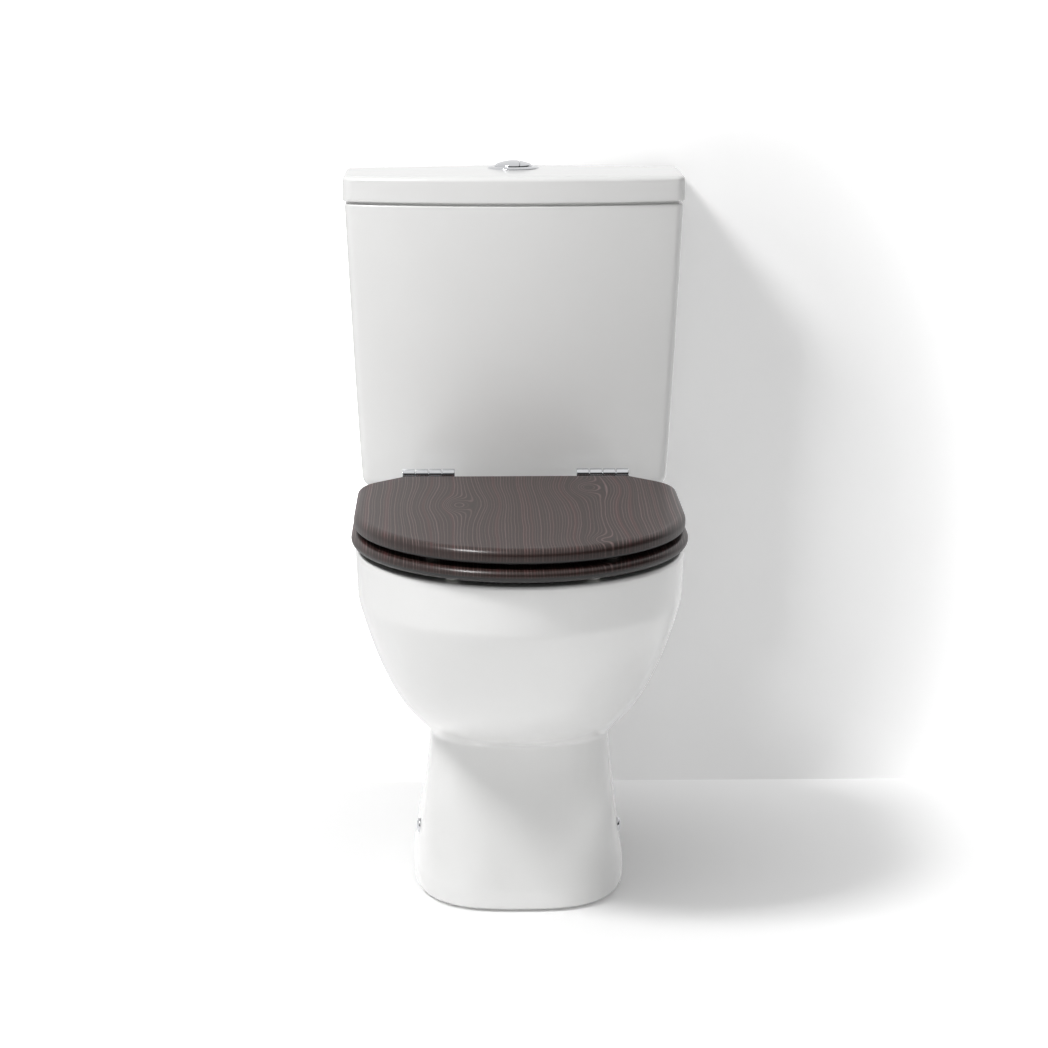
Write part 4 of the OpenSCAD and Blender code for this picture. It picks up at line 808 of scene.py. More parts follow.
def trap_rings(s):
    """The water's way: down an elbow, up over the weir and down again to the outlet."""
    dip, crest = s.outlet_h - 45, s.outlet_h + 79
    rise, fall = radians(75), acos(1 - (crest - s.outlet_h) / (2 * TRAP_BEND_R))
    s.sump_y = s.bowl_y + 16
    rise_y = s.sump_y + ELBOW_R
    rise_len = (crest - dip - 2 * TRAP_BEND_R * (1 - cos(rise))) / sin(rise)
    s.crest_y = rise_y + 2 * TRAP_BEND_R * sin(rise) + rise_len * cos(rise)
    s.outlet_y = s.crest_y + 2 * TRAP_BEND_R * sin(fall)
    s.crest_h, s.sump_h = crest, dip + ELBOW_R
    rings = []
    for a in steps(radians(9), radians(81), 8):
        rings.append(trap_ring(s.sump_y + ELBOW_R * (1 - cos(a)), dip + ELBOW_R * (1 - sin(a)), a - QUARTER))
    for a in steps(0, rise, 10):
        rings.append(trap_ring(rise_y + TRAP_BEND_R * sin(a), dip + TRAP_BEND_R * (1 - cos(a)), a))
    for a in steps(rise, 0, 10):
        rings.append(trap_ring(s.crest_y - TRAP_BEND_R * sin(a), crest - TRAP_BEND_R * (1 - cos(a)), a))
    for a in steps(0, fall, 8)[1:]:
        rings.append(trap_ring(s.crest_y + TRAP_BEND_R * sin(a), crest - TRAP_BEND_R * (1 - cos(a)), -a))
    for a in steps(fall, 0, 8)[1:]:
        rings.append(trap_ring(s.outlet_y - TRAP_BEND_R * sin(a), s.outlet_h + TRAP_BEND_R * (1 - cos(a)), -a))
    return rings


def bowl_inner_ring(s, z):
    """The bowl's inside keeps its wall and its distance to the weir, and closes to the sump."""
    drop = z - s.crest_h + TRAP_BEND_R
    reach = TRAP_BEND_R + TRAP_R + 10
    back = min(
        bowl_half_l(s, z) * BACK_SHARE - s.wall,
        s.crest_y - s.bowl_y - sqrt(max(0, reach * reach - drop * drop)))
    t = ease((s.sump_h + 50 - z) / 50)
    return ellipse_ring(
        mix(s.bowl_y, s.sump_y, t), mix(bowl_half_w(s, z) - s.wall, TRAP_R, t),
        mix(bowl_half_l(s, z) - s.wall, TRAP_R, t), mix(back, TRAP_R, t), z)


def mouth_ring(s, z, out=0.0):
    return ellipse_ring(s.bowl_y, s.mouth_half_w + out, s.mouth_half_l + out, s.mouth_half_l + out, z)


def pan_rings(s):
    """The china's skin as one run of rings: up the outside, over the rim, and down the bowl and trap."""
    trap = trap_rings(s)
    top, lip = s.rim_h, s.rim_h - 42
    # The sole stands back a little, which leaves a dark line along the floor
    rings = [china_ring(s, z, inset) for z, inset in ((0, 8), (1.4, 8), (2.6, 7))]
    rings += [china_ring(s, 2.8 + up, down) for up, down in quarter(3, 4)]
    rings += [china_ring(s, z) for z in steps(8, 172, 27)]
    rings += [china_ring(s, s.base_h + 104 * t ** 1.8) for t in steps(0, 1, 30)]
    for low, high, count in ((s.base_h + 109, top - 76, 5), (top - 73, top - 46, 9), (top - 42, top - 4, 7)):
        rings += [china_ring(s, z) for z in steps(low, high, count)]
    rings += [china_ring(s, top - 4, up, top - down) for up, down in quarter(4, 5, pi / 12)]
    rings += [mouth_ring(s, top - down, up) for up, down in quarter(5, 6, QUARTER, 0)]
    rings += [mouth_ring(s, z) for z in steps(top - 12, lip + 4, 4)]
    # Below the lip the rim is hollow, and carries the flush water round the bowl
    rings += [mouth_ring(s, lip + down, up) for up, down in quarter(4, 3, pi / 8)]
    rings += [mouth_ring(s, lip + down, 9 - up) for up, down in quarter(4, 4, QUARTER, 0)]
    rings += [mouth_ring(s, top - 16, 9), mouth_ring(s, top - 13, 10), mouth_ring(s, top - 12, 12)]
    for gap, drop in ((6, 12), (3, 13), (2, 16)):
        back = s.nose_len * BACK_SHARE - s.wall - max(1, gap - 3)
        rings.append(ellipse_ring(
            s.bowl_y, s.rim_w / 2 - s.wall - gap, s.nose_len - s.wall - gap, back, top - drop))
    rings += [bowl_inner_ring(s, z) for z in steps(s.crease_h - 4, s.sump_h + 5, 32)]
    rings.append(ellipse_ring(s.sump_y, TRAP_R, TRAP_R, TRAP_R, s.sump_h))
    return rings + trap


def foot_hollow(half_w, near_y, far_y, high):
    """A block under the foot whose far corners are round."""
    r = 60
    side = 1 if far_y > near_y else -1
    right = arc((half_w - r, far_y - side * r), r, 0, side * QUARTER, 10)
    left = arc((r - half_w, far_y - side * r), r, side * QUARTER, side * QUARTER, 10)
    outline = [(half_w, near_y)] + right + left + [(-half_w, near_y)]
    return loft([[(x, y, z) for x, y in outline] for z in (-1, high)])


def on_valve(s, bm, x=0):
    """Moves a mesh onto the flush valve's axis, or beside it."""
    return placed(bm, shift(x, s.valve_y))


def pan_cutters(s):
    """The holes, pockets and hollows that are cut into the china."""
    top, rise_y = s.rim_h, s.sump_y + ELBOW_R
    inner_w, split_y = s.foot_w / 2 - 24, s.foot_front_y + 200
    trap_back_y = s.spine_back_y - 28
    parts = [
        placed(rod(42, -1, s.spigot_end_y - s.outlet_y + 1, 0), shift(0, s.outlet_y, s.outlet_h), ALONG_Y),
        on_valve(s, rod(47.5, top - 22, top + 1, 0)),
        on_valve(s, rod(26, top - 44, top, 0)),
        foot_hollow(inner_w, split_y, s.foot_front_y + 24, 88),
        foot_hollow(inner_w, split_y - 1, s.foot_back_y - 24, 36),
        block((-40, split_y - 2, -1), (40, trap_back_y, s.outlet_h - 78), 0),
        block((-40, rise_y + 97, -1), (40, trap_back_y, s.outlet_h - 54), 0),
    ]
    feed_y = s.bowl_y + s.nose_len * BACK_SHARE - s.wall - 3
    parts.append(placed(rod(13, 0, s.valve_y - feed_y - 3, 0, 32), shift(0, feed_y, top - 31), ALONG_Y))
    pocket = block((56, s.hinge_y - 25, top - 77), (s.deck_w / 2 - 14, s.deck_back_y - 34, s.deck_under), 0)
    parts += [pocket.copy(), placed(pocket, MIRROR_X)]
    cap_x = node_box("side_caps")[1].x - CAP_T
    for side in (-1, 1):
        for x, y, r in ((s.bolt_x, s.hinge_y, 8), (s.coupling_x, s.valve_y, 6)):
            parts.append(placed(rod(r, s.deck_under - 1, top + 1, 0, 32), shift(side * x, y)))
        outward = Matrix.Rotation(side * QUARTER, 4, "Y")
        for r, x in ((3.5, inner_w - 1), (8.8, cap_x)):
            parts.append(placed(rod(r, x, s.foot_w / 2 + 1, 0, 40), shift(0, s.side_y, SIDE_H), outward))
    return parts


class TOILET_OT_pan(bpy.types.Operator):
    """Lofts the glazed pan from foot to rim, over the lip and down through the trap, and cuts its holes"""

    bl_idname = "toilet.pan"
    bl_label = "Pan"

    def execute(self, context):
        s = layout(context)
        pan = to_object(loft(pan_rings(s)), "pan_china", PAN_SHARP)
        root_y = s.spine_back_y - 40
        reach = s.spigot_end_y - root_y
        spigot = spun([(0, 0), (57, 0), (57, 40), (51, 46), (51, reach), (0, reach)], 2.5, 72)
        carve(pan, placed(spigot, shift(0, root_y, s.outlet_h), ALONG_Y), "UNION", PAN_SHARP)
        for cutter in pan_cutters(s):
            carve(pan, cutter, sharp=PAN_SHARP)
        dress(pan, "base", "china", "pan")
        return {"FINISHED"}


def both_halves(half, z):
    """A right half outline and its mirror image, as one ring at a height."""
    return [(x, y, z) for x, y in half] + [(-x, y, z) for x, y in half[-2:0:-1]]


def tank_half(half_w, front_y, rear_y, r):
    """Right half of the cistern's plan: bowed front, round corner, straight side, square back."""
    bow = 33
    bow_r = (half_w * half_w + bow * bow) / (2 * bow)
    bow_y = front_y + bow_r
    turn = asin((half_w - r) / (bow_r - r))
    corner_y = bow_y - (bow_r - r) * cos(turn)
    rear_r = min(r, 8)
    front = [(bow_r * sin(a), bow_y - bow_r * cos(a)) for a in steps(0, turn, 24)]
    corner = [(half_w - r + r * sin(a), corner_y - r * cos(a)) for a in steps(turn, QUARTER, 10)[1:]]
    side = [(half_w, mix(corner_y, rear_y - rear_r, t)) for t in (0.33, 0.67)]
    rear = arc((half_w - rear_r, rear_y - rear_r), rear_r, 0, QUARTER, 5)
    return front + corner + side + rear + [(0, rear_y)]


def tank_ring(s, z, inset=0.0):
    """A ring of the cistern, which widens towards its top."""
    t = clamp01((z - s.tank_z) / (s.tank_top - s.tank_z)) ** 0.85
    half_w = mix(178, 197, t) - inset
    half = tank_half(half_w, s.back_y - 179 + inset, s.back_y - 2 - inset, max(14 - inset, 3))
    return both_halves(half, z)


class TOILET_OT_cistern(bpy.types.Operator):
    """Lofts the cistern's body outside and inside, and cuts the holes in its floor and back"""

    bl_idname = "toilet.cistern"
    bl_label = "Cistern"

    def execute(self, context):
        s = layout(context)
        wall, rebate = 11, 5
        top, rebate_z = s.tank_top, s.tank_top - 2.6
        rings = [tank_ring(s, s.tank_z + up, down) for up, down in quarter(14, 8)]
        rings += [tank_ring(s, z) for z in steps(s.tank_z + 20, rebate_z - 6, 24)]
        rings += [tank_ring(s, rebate_z - down, up) for up, down in quarter(2, 5)]
        for z, inset in (
                (rebate_z, rebate), (top - 0.6, rebate), (top, rebate + 0.6), (top, wall - 1), (top - 1, wall)):
            rings.append(tank_ring(s, z, inset))
        rings += [tank_ring(s, z, wall) for z in steps(top - 10, s.tank_floor + 14, 20)]
        rings += [tank_ring(s, s.tank_floor + down, wall + up) for up, down in quarter(12, 6)]
        tank = to_object(loft(rings), "cistern_china")
        for x, r in ((0, 31), (s.inlet_x, 11.2), (s.coupling_x, 6), (-s.coupling_x, 6)):
            carve(tank, placed(rod(r, s.tank_z - 1, s.tank_floor + 1, 0), shift(x, s.valve_y)))
        for x in (-110, 110):
            carve(tank, placed(rod(4, -1, 20, 0, 24), shift(x, s.back_y - 16, top - 90), ALONG_Y))
        dress(tank, "base", "china", "cistern")
        return {"FINISHED"}


def cover_ring(s, z, inset=0.0, share=1.0, crown=0.0):
    """A ring of the cistern's lid, shrunk towards the button by a share and sunk by the crown's fall."""
    half = tank_half(199 - inset, s.back_y - 181 + inset, s.back_y - inset, max(16 - inset, 2))
    points = []
    for x, y, h in both_halves(half, z):
        x, y = x * share, s.valve_y + (y - s.valve_y) * share
        points.append((x, y, h + crown * (2 - 3.5 * (x / 199) ** 2 - 3 * ((y - s.valve_y) / 90) ** 2)))
    return points


class TOILET_OT_tank_lid(bpy.types.Operator):
    """Lofts the cistern's lid: rib, skirt, rounded edge and a faintly crowned top"""

    bl_idname = "toilet.tank_lid"
    bl_label = "Cistern lid"

    def execute(self, context):
        s = layout(context)
        foot, top = s.cover_z, s.cover_top
        under, rib = top - 11, 14.5
        rings = [cover_ring(s, under, inset) for inset in (60, 40, rib + 14)]
        rings += [cover_ring(s, under - down, rib + 6 + up) for up, down in quarter(8, 5, QUARTER, 0)]
        for z, inset in (
                (foot - 5, rib + 6), (foot - 6, rib + 5), (foot - 6, rib + 1), (foot - 5, rib),
                (foot, rib), (foot, 3)):
            rings.append(cover_ring(s, z, inset))
        rings += [cover_ring(s, foot + up, down) for up, down in quarter(2, 5)]
        rings += [cover_ring(s, z) for z in steps(foot + 6, top - 12, 3)]
        # The crown comes in round the top edge
        for a, (up, down) in zip(steps(0, 1, 12), quarter(8, 12)):
            rings.append(cover_ring(s, top - down, up, 1, ease(a)))
        rings += [cover_ring(s, top, inset, 1, 1) for inset in (12, 18, 26, 36, 48, 60)]
        rings += [cover_ring(s, top, 60, share, 1) for share in (0.8, 0.6, 0.42, 0.28, 0.15)]
        cover = to_object(loft(rings), "cistern_lid_china")
        carve(cover, placed(rod(24.5, under - 1, top + 4, 0, 64), shift(0, s.valve_y)))
        dress(cover, "tank_lid", "china", "cistern_lid")
        return {"FINISHED"}


def seat_half_size(s):
    """Half the seat's width, and its length from the middle of the bowl to its nose."""
    return s.rim_w / 2 + 4.5, s.nose_len + 12


def seat_half(s, inset):
    """Right half of the seat's outline: elliptical nose, straight side, slanted corner, straight back."""
    half_w, half_l = seat_half_size(s)
    back_y, back_half = s.seat_back_y, 133
    turn = atan2(half_w - back_half, back_y - s.bowl_y - 153)
    r, back_r = 70, 12
    side_y = s.bowl_y + 153 - r * tan(turn / 2)
    corner_x = back_half - back_r * tan((QUARTER - turn) / 2)
    nose = [((half_w - inset) * cos(a), s.bowl_y + (half_l - inset) * sin(a)) for a in steps(-QUARTER, 0, 48)]
    side = [(half_w - inset, mix(s.bowl_y, side_y, t)) for t in (0.25, 0.5, 0.75)]
    slant = arc((half_w - r, side_y), r - inset, 0, turn, 10)
    corner = arc((corner_x, back_y - back_r), back_r - inset, turn, QUARTER - turn, 6)
    back = [(mix(corner_x, 0, t), back_y - inset) for t in (0.25, 0.5, 0.75)]
    return nose + side + slant + corner + back + [(0, back_y - inset)]


def seat_outline(s, inset, z):
    return both_halves(seat_half(s, inset), z)


def drawn_in(s, ring, share):
    """A ring shrunk towards the middle of the bowl, to keep a flat face's shading flat."""
    return [(x * share, s.bowl_y + (y - s.bowl_y) * share, z) for x, y, z in ring]


def seat_hole(s, widen, z):
    """The hole's edge, with one point behind each point of the outline."""
    points = []
    for x, y, _ in seat_outline(s, 0, z):
        angle = atan2(y - s.bowl_y, x)
        r = oval_radius(angle, 113 + widen, 150 + widen, 2)
        points.append((r * cos(angle), s.bowl_y + r * sin(angle), z))
    return points


class TOILET_OT_seat(bpy.types.Operator):
    """Lofts the veneered seat ring with its fully rounded edges, and the lid with its bullnose"""

    bl_idname = "toilet.seat"
    bl_label = "Seat and lid"

    def execute(self, context):
        s = layout(context)
        r = (s.ring_top - s.ring_z) / 2
        rings = []
        for edge, start, count in ((seat_outline, -QUARTER, 16), (seat_hole, QUARTER, 14)):
            for a in steps(start, -start, count):
                rings.append(edge(s, r * (1 - cos(a)), s.ring_z + r * (1 + sin(a))))
        made(loft(rings, closed=True), "seat_ring_veneer", "ring", "veneer", "seat_ring")
        # The lid stands back from the ring by this much
        back = 3
        foot_r, nose_r = 3.5, s.bullnose_r
        rings = [drawn_in(s, seat_outline(s, back + foot_r, s.lid_z), share) for share in (0.9, 0.985)]
        rings += [seat_outline(s, back + down, s.lid_z + up) for up, down in quarter(foot_r, 6)]
        rings += [seat_outline(s, back + up, s.lid_top - down) for up, down in quarter(nose_r, 14)]
        rings += [drawn_in(s, seat_outline(s, back + nose_r, s.lid_top), share) for share in (0.985, 0.9)]
        made(loft(rings), "seat_lid_veneer", "lid", "veneer", "seat_lid")
        return {"FINISHED"}


def buffer(x, y, low, high):
    """A round rubber buffer with a soft lower edge and a fine rib round its top."""
    tall = high - low
    profile = [(0, 0), (6.2, 0), (7, 1.2), (7, tall - 1.2), (7.3, tall - 0.9), (7.3, tall), (0, tall)]
    return placed(spun(profile, 0.5, 40), shift(x, y, low))


class TOILET_OT_buffers(bpy.types.Operator):
    """Turns the rubber buffers under the seat ring and under the lid"""

    bl_idname = "toilet.buffers"
    bl_label = "Buffers"

    def execute(self, context):
        s = layout(context)
        half_w, half_l = seat_half_size(s)
        front_x, front_y = 0.4 * half_w, s.bowl_y - 0.77 * half_l
        rear_x, rear_y = 0.73 * half_w, s.bowl_y + 111
        for body, spots, low, high in (
                ("ring", [(front_x, front_y), (rear_x, rear_y)], s.rim_h, s.ring_z),
                ("lid", [(front_x + 21, front_y + 28), (rear_x + 14, rear_y)], s.ring_top, s.lid_z)):
            buffers = joined(*[both_sides(buffer(x, y, low + SEATED, high)) for x, y in spots])
            made(buffers, f"{body}_buffer_rubber", body, "pale_rubber", f"{body}_buffers")
        return {"FINISHED"}


# Knuckles along the hinge barrel, their length, and the leaves' thickness
PITCH, KNUCKLE, LEAF_T = 15.3, 14.4, 1.8


def knuckle_x(s, place):
    """Where a knuckle starts, counted from the pillar outwards."""
    return s.bolt_x - KNUCKLE / 2 + place * PITCH


def knuckle(s, place):
    """One chamfered knuckle of the hinge barrel."""
    where = shift(knuckle_x(s, place), s.hinge_y, s.axis_z)
    return placed(tube(6.5, 3.06, 0, KNUCKLE, 1.2, 40), where, ALONG_X)


def arm(s, place, low_y, high_y, low, high):
    """A flat arm of a leaf at one knuckle."""
    x = knuckle_x(s, place)
    return block((x, low_y, low), (x + KNUCKLE, high_y, high), 0.4)


def leaf(s, z, front_y, back_y):
    """A leaf's plate with two round corners and softened edges."""
    bm = block((s.leaf_x - 17, front_y, z), (s.leaf_x + 17, back_y, z + LEAF_T), 0)
    upright = [e for e in bm.edges if spread(e, 2) > 1 and min(v.co.y for v in e.verts) < front_y + 1]
    soften(bm, upright, 6, 6)
    return soften(bm, bm.edges[:], 0.35)


def wood_screw(x, y, z, up):
    """A countersunk wood screw with a dimpled head at a height, pointing up or down."""
    head = spun([(0, 0), (3.3, 0), (2.9, 0.8), (1.3, 0.85), (0.4, 0.2), (0, 0.2)], 0.15, 24)
    screw = joined(head, thread(1.7, -8.5, 0.2, 1.1, 0.35, 20))
    if up:
        placed(screw, Matrix.Rotation(pi, 4, "X"))
    return placed(screw, shift(x, y, z))


class TOILET_OT_hinges(bpy.types.Operator):
    """Builds the chrome hinges: pillars, pins, leaves with their knuckles, and the leaf screws"""

    bl_idname = "toilet.hinges"
    bl_label = "Hinges"

    def execute(self, context):
        s = layout(context)
        s.leaf_x = s.bolt_x + 2 * PITCH
        foot, post_top = s.rim_h + 1.5, s.axis_z - 3
        post = spun([
            (0, foot), (13, foot), (12.2, foot + 2.2), (6.8, foot + 3), (5.5, foot + 5), (5.5, post_top),
            (0, post_top)], 0.6)
        pillar = joined(placed(post, shift(s.bolt_x, s.hinge_y)), knuckle(s, 0))
        made(both_sides(pillar), "hinge_pillar_chrome", "base", "chrome", "hinge_pillars")
        pin_len = 3 * PITCH + KNUCKLE
        pin = placed(
            spun([(0, 0), (3, 0), (3, pin_len - 0.5), (2.4, pin_len), (0, pin_len)], 0.4, 32),
            shift(knuckle_x(s, 0), s.hinge_y, s.axis_z), ALONG_X)
        made(both_sides(pin), "hinge_pin_chrome", "base", "chrome", "hinge_pins")
        # The ring's leaf lies on it and has the first and third knuckle from the pillar
        leaf_y, arm_y = s.seat_back_y - 52, s.hinge_y - 7.3
        parts = [leaf(s, s.ring_top, leaf_y, arm_y + LEAF_T)]
        for place in (1, 3):
            parts += [arm(s, place, arm_y, arm_y + LEAF_T, s.ring_top, s.axis_z), knuckle(s, place)]
        made(both_sides(joined(*parts)), "ring_leaf_chrome", "ring", "chrome", "ring_leaves")
        # The lid's leaf lies under it and has the second
        under, arm_y = s.lid_z - LEAF_T, s.seat_back_y - 2.7
        parts = [
            leaf(s, under, leaf_y, arm_y + LEAF_T), knuckle(s, 2),
            arm(s, 2, arm_y, arm_y + LEAF_T, under, s.axis_z - LEAF_T),
            arm(s, 2, arm_y, s.hinge_y - 4.8, s.axis_z - 2 * LEAF_T, s.axis_z - LEAF_T)]
        made(both_sides(joined(*parts)), "lid_leaf_chrome", "lid", "chrome", "lid_leaves")
        for near, far, z, up, body in (
                (14, 34, s.ring_top + LEAF_T, False, "ring"), (22, 42, under, True, "lid")):
            screws = [wood_screw(s.leaf_x + x, s.seat_back_y - y, z, up) for x, y in ((-9, near), (9, far))]
            node = f"{body}_leaf_screws"
            made(both_sides(joined(*screws)), f"{node}_steel", body, "steel", node)
        return {"FINISHED"}


# The button's well below the lid's top, the drums' foot above its floor, and where the drum is split
WELL_DEPTH, DRUM_LIFT, SPLIT_X = 30, 18, 7
FULL_X, HALF_X = -8, 14


def cut_away(bm, point, normal, keep_below):
    """Cuts a closed mesh at a plane, keeps the side below or above it, and closes the cut."""
    bmesh.ops.bisect_plane(
        bm, geom=bm.verts[:] + bm.edges[:] + bm.faces[:], plane_co=point, plane_no=normal,
        clear_outer=keep_below, clear_inner=not keep_below)
    bmesh.ops.holes_fill(bm, edges=[e for e in bm.edges if e.is_boundary])


def button_drum(s, keep_left):
    """One of the two buttons: a domed drum cut down one side, with its stem."""
    foot, top = s.cover_top - WELL_DEPTH + DRUM_LIFT, s.cover_top + 11
    dome = [(21.5 * t, top - 4.6 * t * t) for t in (0.92, 0.8, 0.65, 0.5, 0.35, 0.2)]
    # The last point only shows which way the wall's upper edge turns, towards the dome
    wall = rounded_profile([(0, foot), (21.5, foot), (21.5, top - 5.4), (0, top + 13.4)], 0.6, 4)[:-1]
    bm = turned(wall + dome + [(0, top)], 96)
    cut_away(bm, (SPLIT_X - 0.3 if keep_left else SPLIT_X + 0.3, 0, 0), (1, 0, 0), keep_left)
    bmesh.ops.recalc_face_normals(bm, faces=bm.faces)
    rim = [
        e for e in bm.edges
        if e.is_manifold and e.calc_face_angle(0) > radians(50) and e.verts[0].co.z > foot + 2]
    soften(bm, rim, 0.5, 3)
    stem = rod(3.5, s.cover_top - WELL_DEPTH - 7.5, foot + 1, 0.6, 32)
    return joined(bm, placed(stem, shift(FULL_X if keep_left else HALF_X)))


def coil(radius, wire, low, high, turns):
    """A round wire spring with closed ends."""
    bm = bmesh.new()
    upright = shift(radius, 0, low + wire) @ Matrix.Rotation(QUARTER, 4, "X")
    ring = bmesh.ops.create_circle(bm, segments=8, radius=wire, matrix=upright)["verts"]
    count = int(turns * 20)
    bmesh.ops.spin(
        bm, geom=ring + ring_edges(ring), cent=(0, 0, 0), axis=(0, 0, 1),
        dvec=(0, 0, (high - low - 2 * wire) / count), angle=TURN * turns, steps=count)
    bmesh.ops.holes_fill(bm, edges=[e for e in bm.edges if e.is_boundary])
    bmesh.ops.recalc_face_normals(bm, faces=bm.faces)
    return bm


class TOILET_OT_button(bpy.types.Operator):
    """Builds the chrome bezel, the two half buttons with their springs, and the backnut under the lid"""

    bl_idname = "toilet.button"
    bl_label = "Flush button"

    def execute(self, context):
        s = layout(context)
        top, well = s.cover_top, s.cover_top - WELL_DEPTH
        bezel = to_object(on_valve(s, spun([
            (0, well), (24, well), (24, top + 1.5), (30.5, top + 1.5), (30.5, top + 2.4), (28.5, top + 3.6),
            (25, top + 4.4), (23, top + 4.2), (22, top + 3.2), (22, well + 3), (0, well + 3)], 0.35, 96)),
            "button_bezel_chrome")
        for x in (FULL_X, HALF_X):
            carve(bezel, on_valve(s, rod(4, well - 1, well + 4, 0, 32), x))
        dress(bezel, "tank_lid", "chrome", "button_bezel")
        for kind in ("full", "half"):
            drum = on_valve(s, button_drum(s, kind == "full"))
            made(drum, f"button_{kind}_chrome", f"{kind}_button", "chrome", f"button_{kind}")
        for x, kind in ((FULL_X, "full"), (HALF_X, "half")):
            spring = on_valve(s, coil(4.5, 0.45, well + 3, well + DRUM_LIFT, 6), x)
            spring = made(spring, f"spring_{kind}_wire", "tank_lid", "spring_steel", f"spring_{kind}", 60)
            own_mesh(spring)
        nut_top = top - 11.3
        nut = around(block((28, -2.5, nut_top - 7.5), (31.5, 2.5, nut_top - 0.5), 0.6), 8)
        nut = joined(tube(29.5, 24.05, nut_top - 8, nut_top, 0.8, 72), nut)
        made(on_valve(s, nut), "button_backnut_plastic", "tank_lid", "white_plastic", "button_backnut")
        return {"FINISHED"}


def wing_nut(top, bore):
    """A wing nut hanging below a height: tapered hub and two rounded wings."""
    hub = spun([(bore, top - 9), (6.5, top - 9), (8, top), (bore, top)], 0.6, 32)
    wing = block((-1.5, 0, top - 12), (1.5, 17, top - 3), 0)
    soften(wing, [e for e in wing.edges if spread(e, 0) > 2 and max(v.co.y for v in e.verts) > 16], 4, 5)
    cut_away(wing, (0, 6, 0), (0, 1, 0), False)
    return joined(hub, around(wing, 2))


class TOILET_OT_fixings(bpy.types.Operator):
    """Builds the seat bolts, washers and wing nuts, the side screws with caps, and the floor brackets"""

    bl_idname = "toilet.fixings"
    bl_label = "Fixings"

    def execute(self, context):
        s = layout(context)
        under = s.deck_under
        cone = [(4.5, under - 3), (13, under - 3), (13, under), (7.6, under), (6, under + 7), (4.5, under + 7)]
        for bm, name, slot, node in (
                (tube(13, 4.5, s.rim_h, s.rim_h + 1.5, 0.4, 40), "pillar_washer_rubber", "black_rubber",
                 "pillar_washers"),
                (thread(4, s.rim_h - 62, s.rim_h + 9.5, 1.25, 0.55), "seat_bolt_steel", "steel", "seat_bolts"),
                (spun(cone, 0.4, 40), "cone_washer_rubber", "black_rubber", "seat_cone_washers"),
                (wing_nut(under - 3, 4.05), "seat_wing_nut_plastic", "white_plastic", "seat_wing_nuts")):
            made(both_sides(placed(bm, shift(s.bolt_x, s.hinge_y))), name, "base", slot, node)
        cap_x, screw_end = node_box("side_caps")[1].x - CAP_T, node_box("side_screws")[1].x
        dome = spun([(0, 0), (8.5, 0), (8.5, 1.2), (7.8, 2.48), (5.95, 3.6), (3.4, 4.2), (0, CAP_T)], 0.5, 48, 4)
        cap = both_sides(placed(dome, shift(cap_x, s.side_y, SIDE_H), ALONG_X))
        made(cap, "side_cap_chrome", "base", "chrome", "side_caps", 50)
        face_x = s.foot_w / 2 - 24.3
        screw = thread(3, face_x - 8, screw_end, 1.4, 0.5)
        screw = both_sides(placed(screw, shift(0, s.side_y, SIDE_H), ALONG_X))
        made(screw, "side_screw_steel", "base", "steel", "side_screws")
        bracket = joined(
            block((face_x - 4, s.side_y - 18, 0), (face_x, s.side_y + 18, 76), 0.8),
            block((face_x - 38, s.side_y - 18, 0), (face_x - 2, s.side_y + 18, 4), 0.8))
        bracket = to_object(both_sides(bracket), "floor_bracket_steel")
        for side in (-1, 1):
            carve(bracket, placed(rod(4, -1, 5, 0, 32), shift(side * (face_x - 19), s.side_y)))
        dress(bracket, "base", "steel", "floor_brackets")
        return {"FINISHED"}


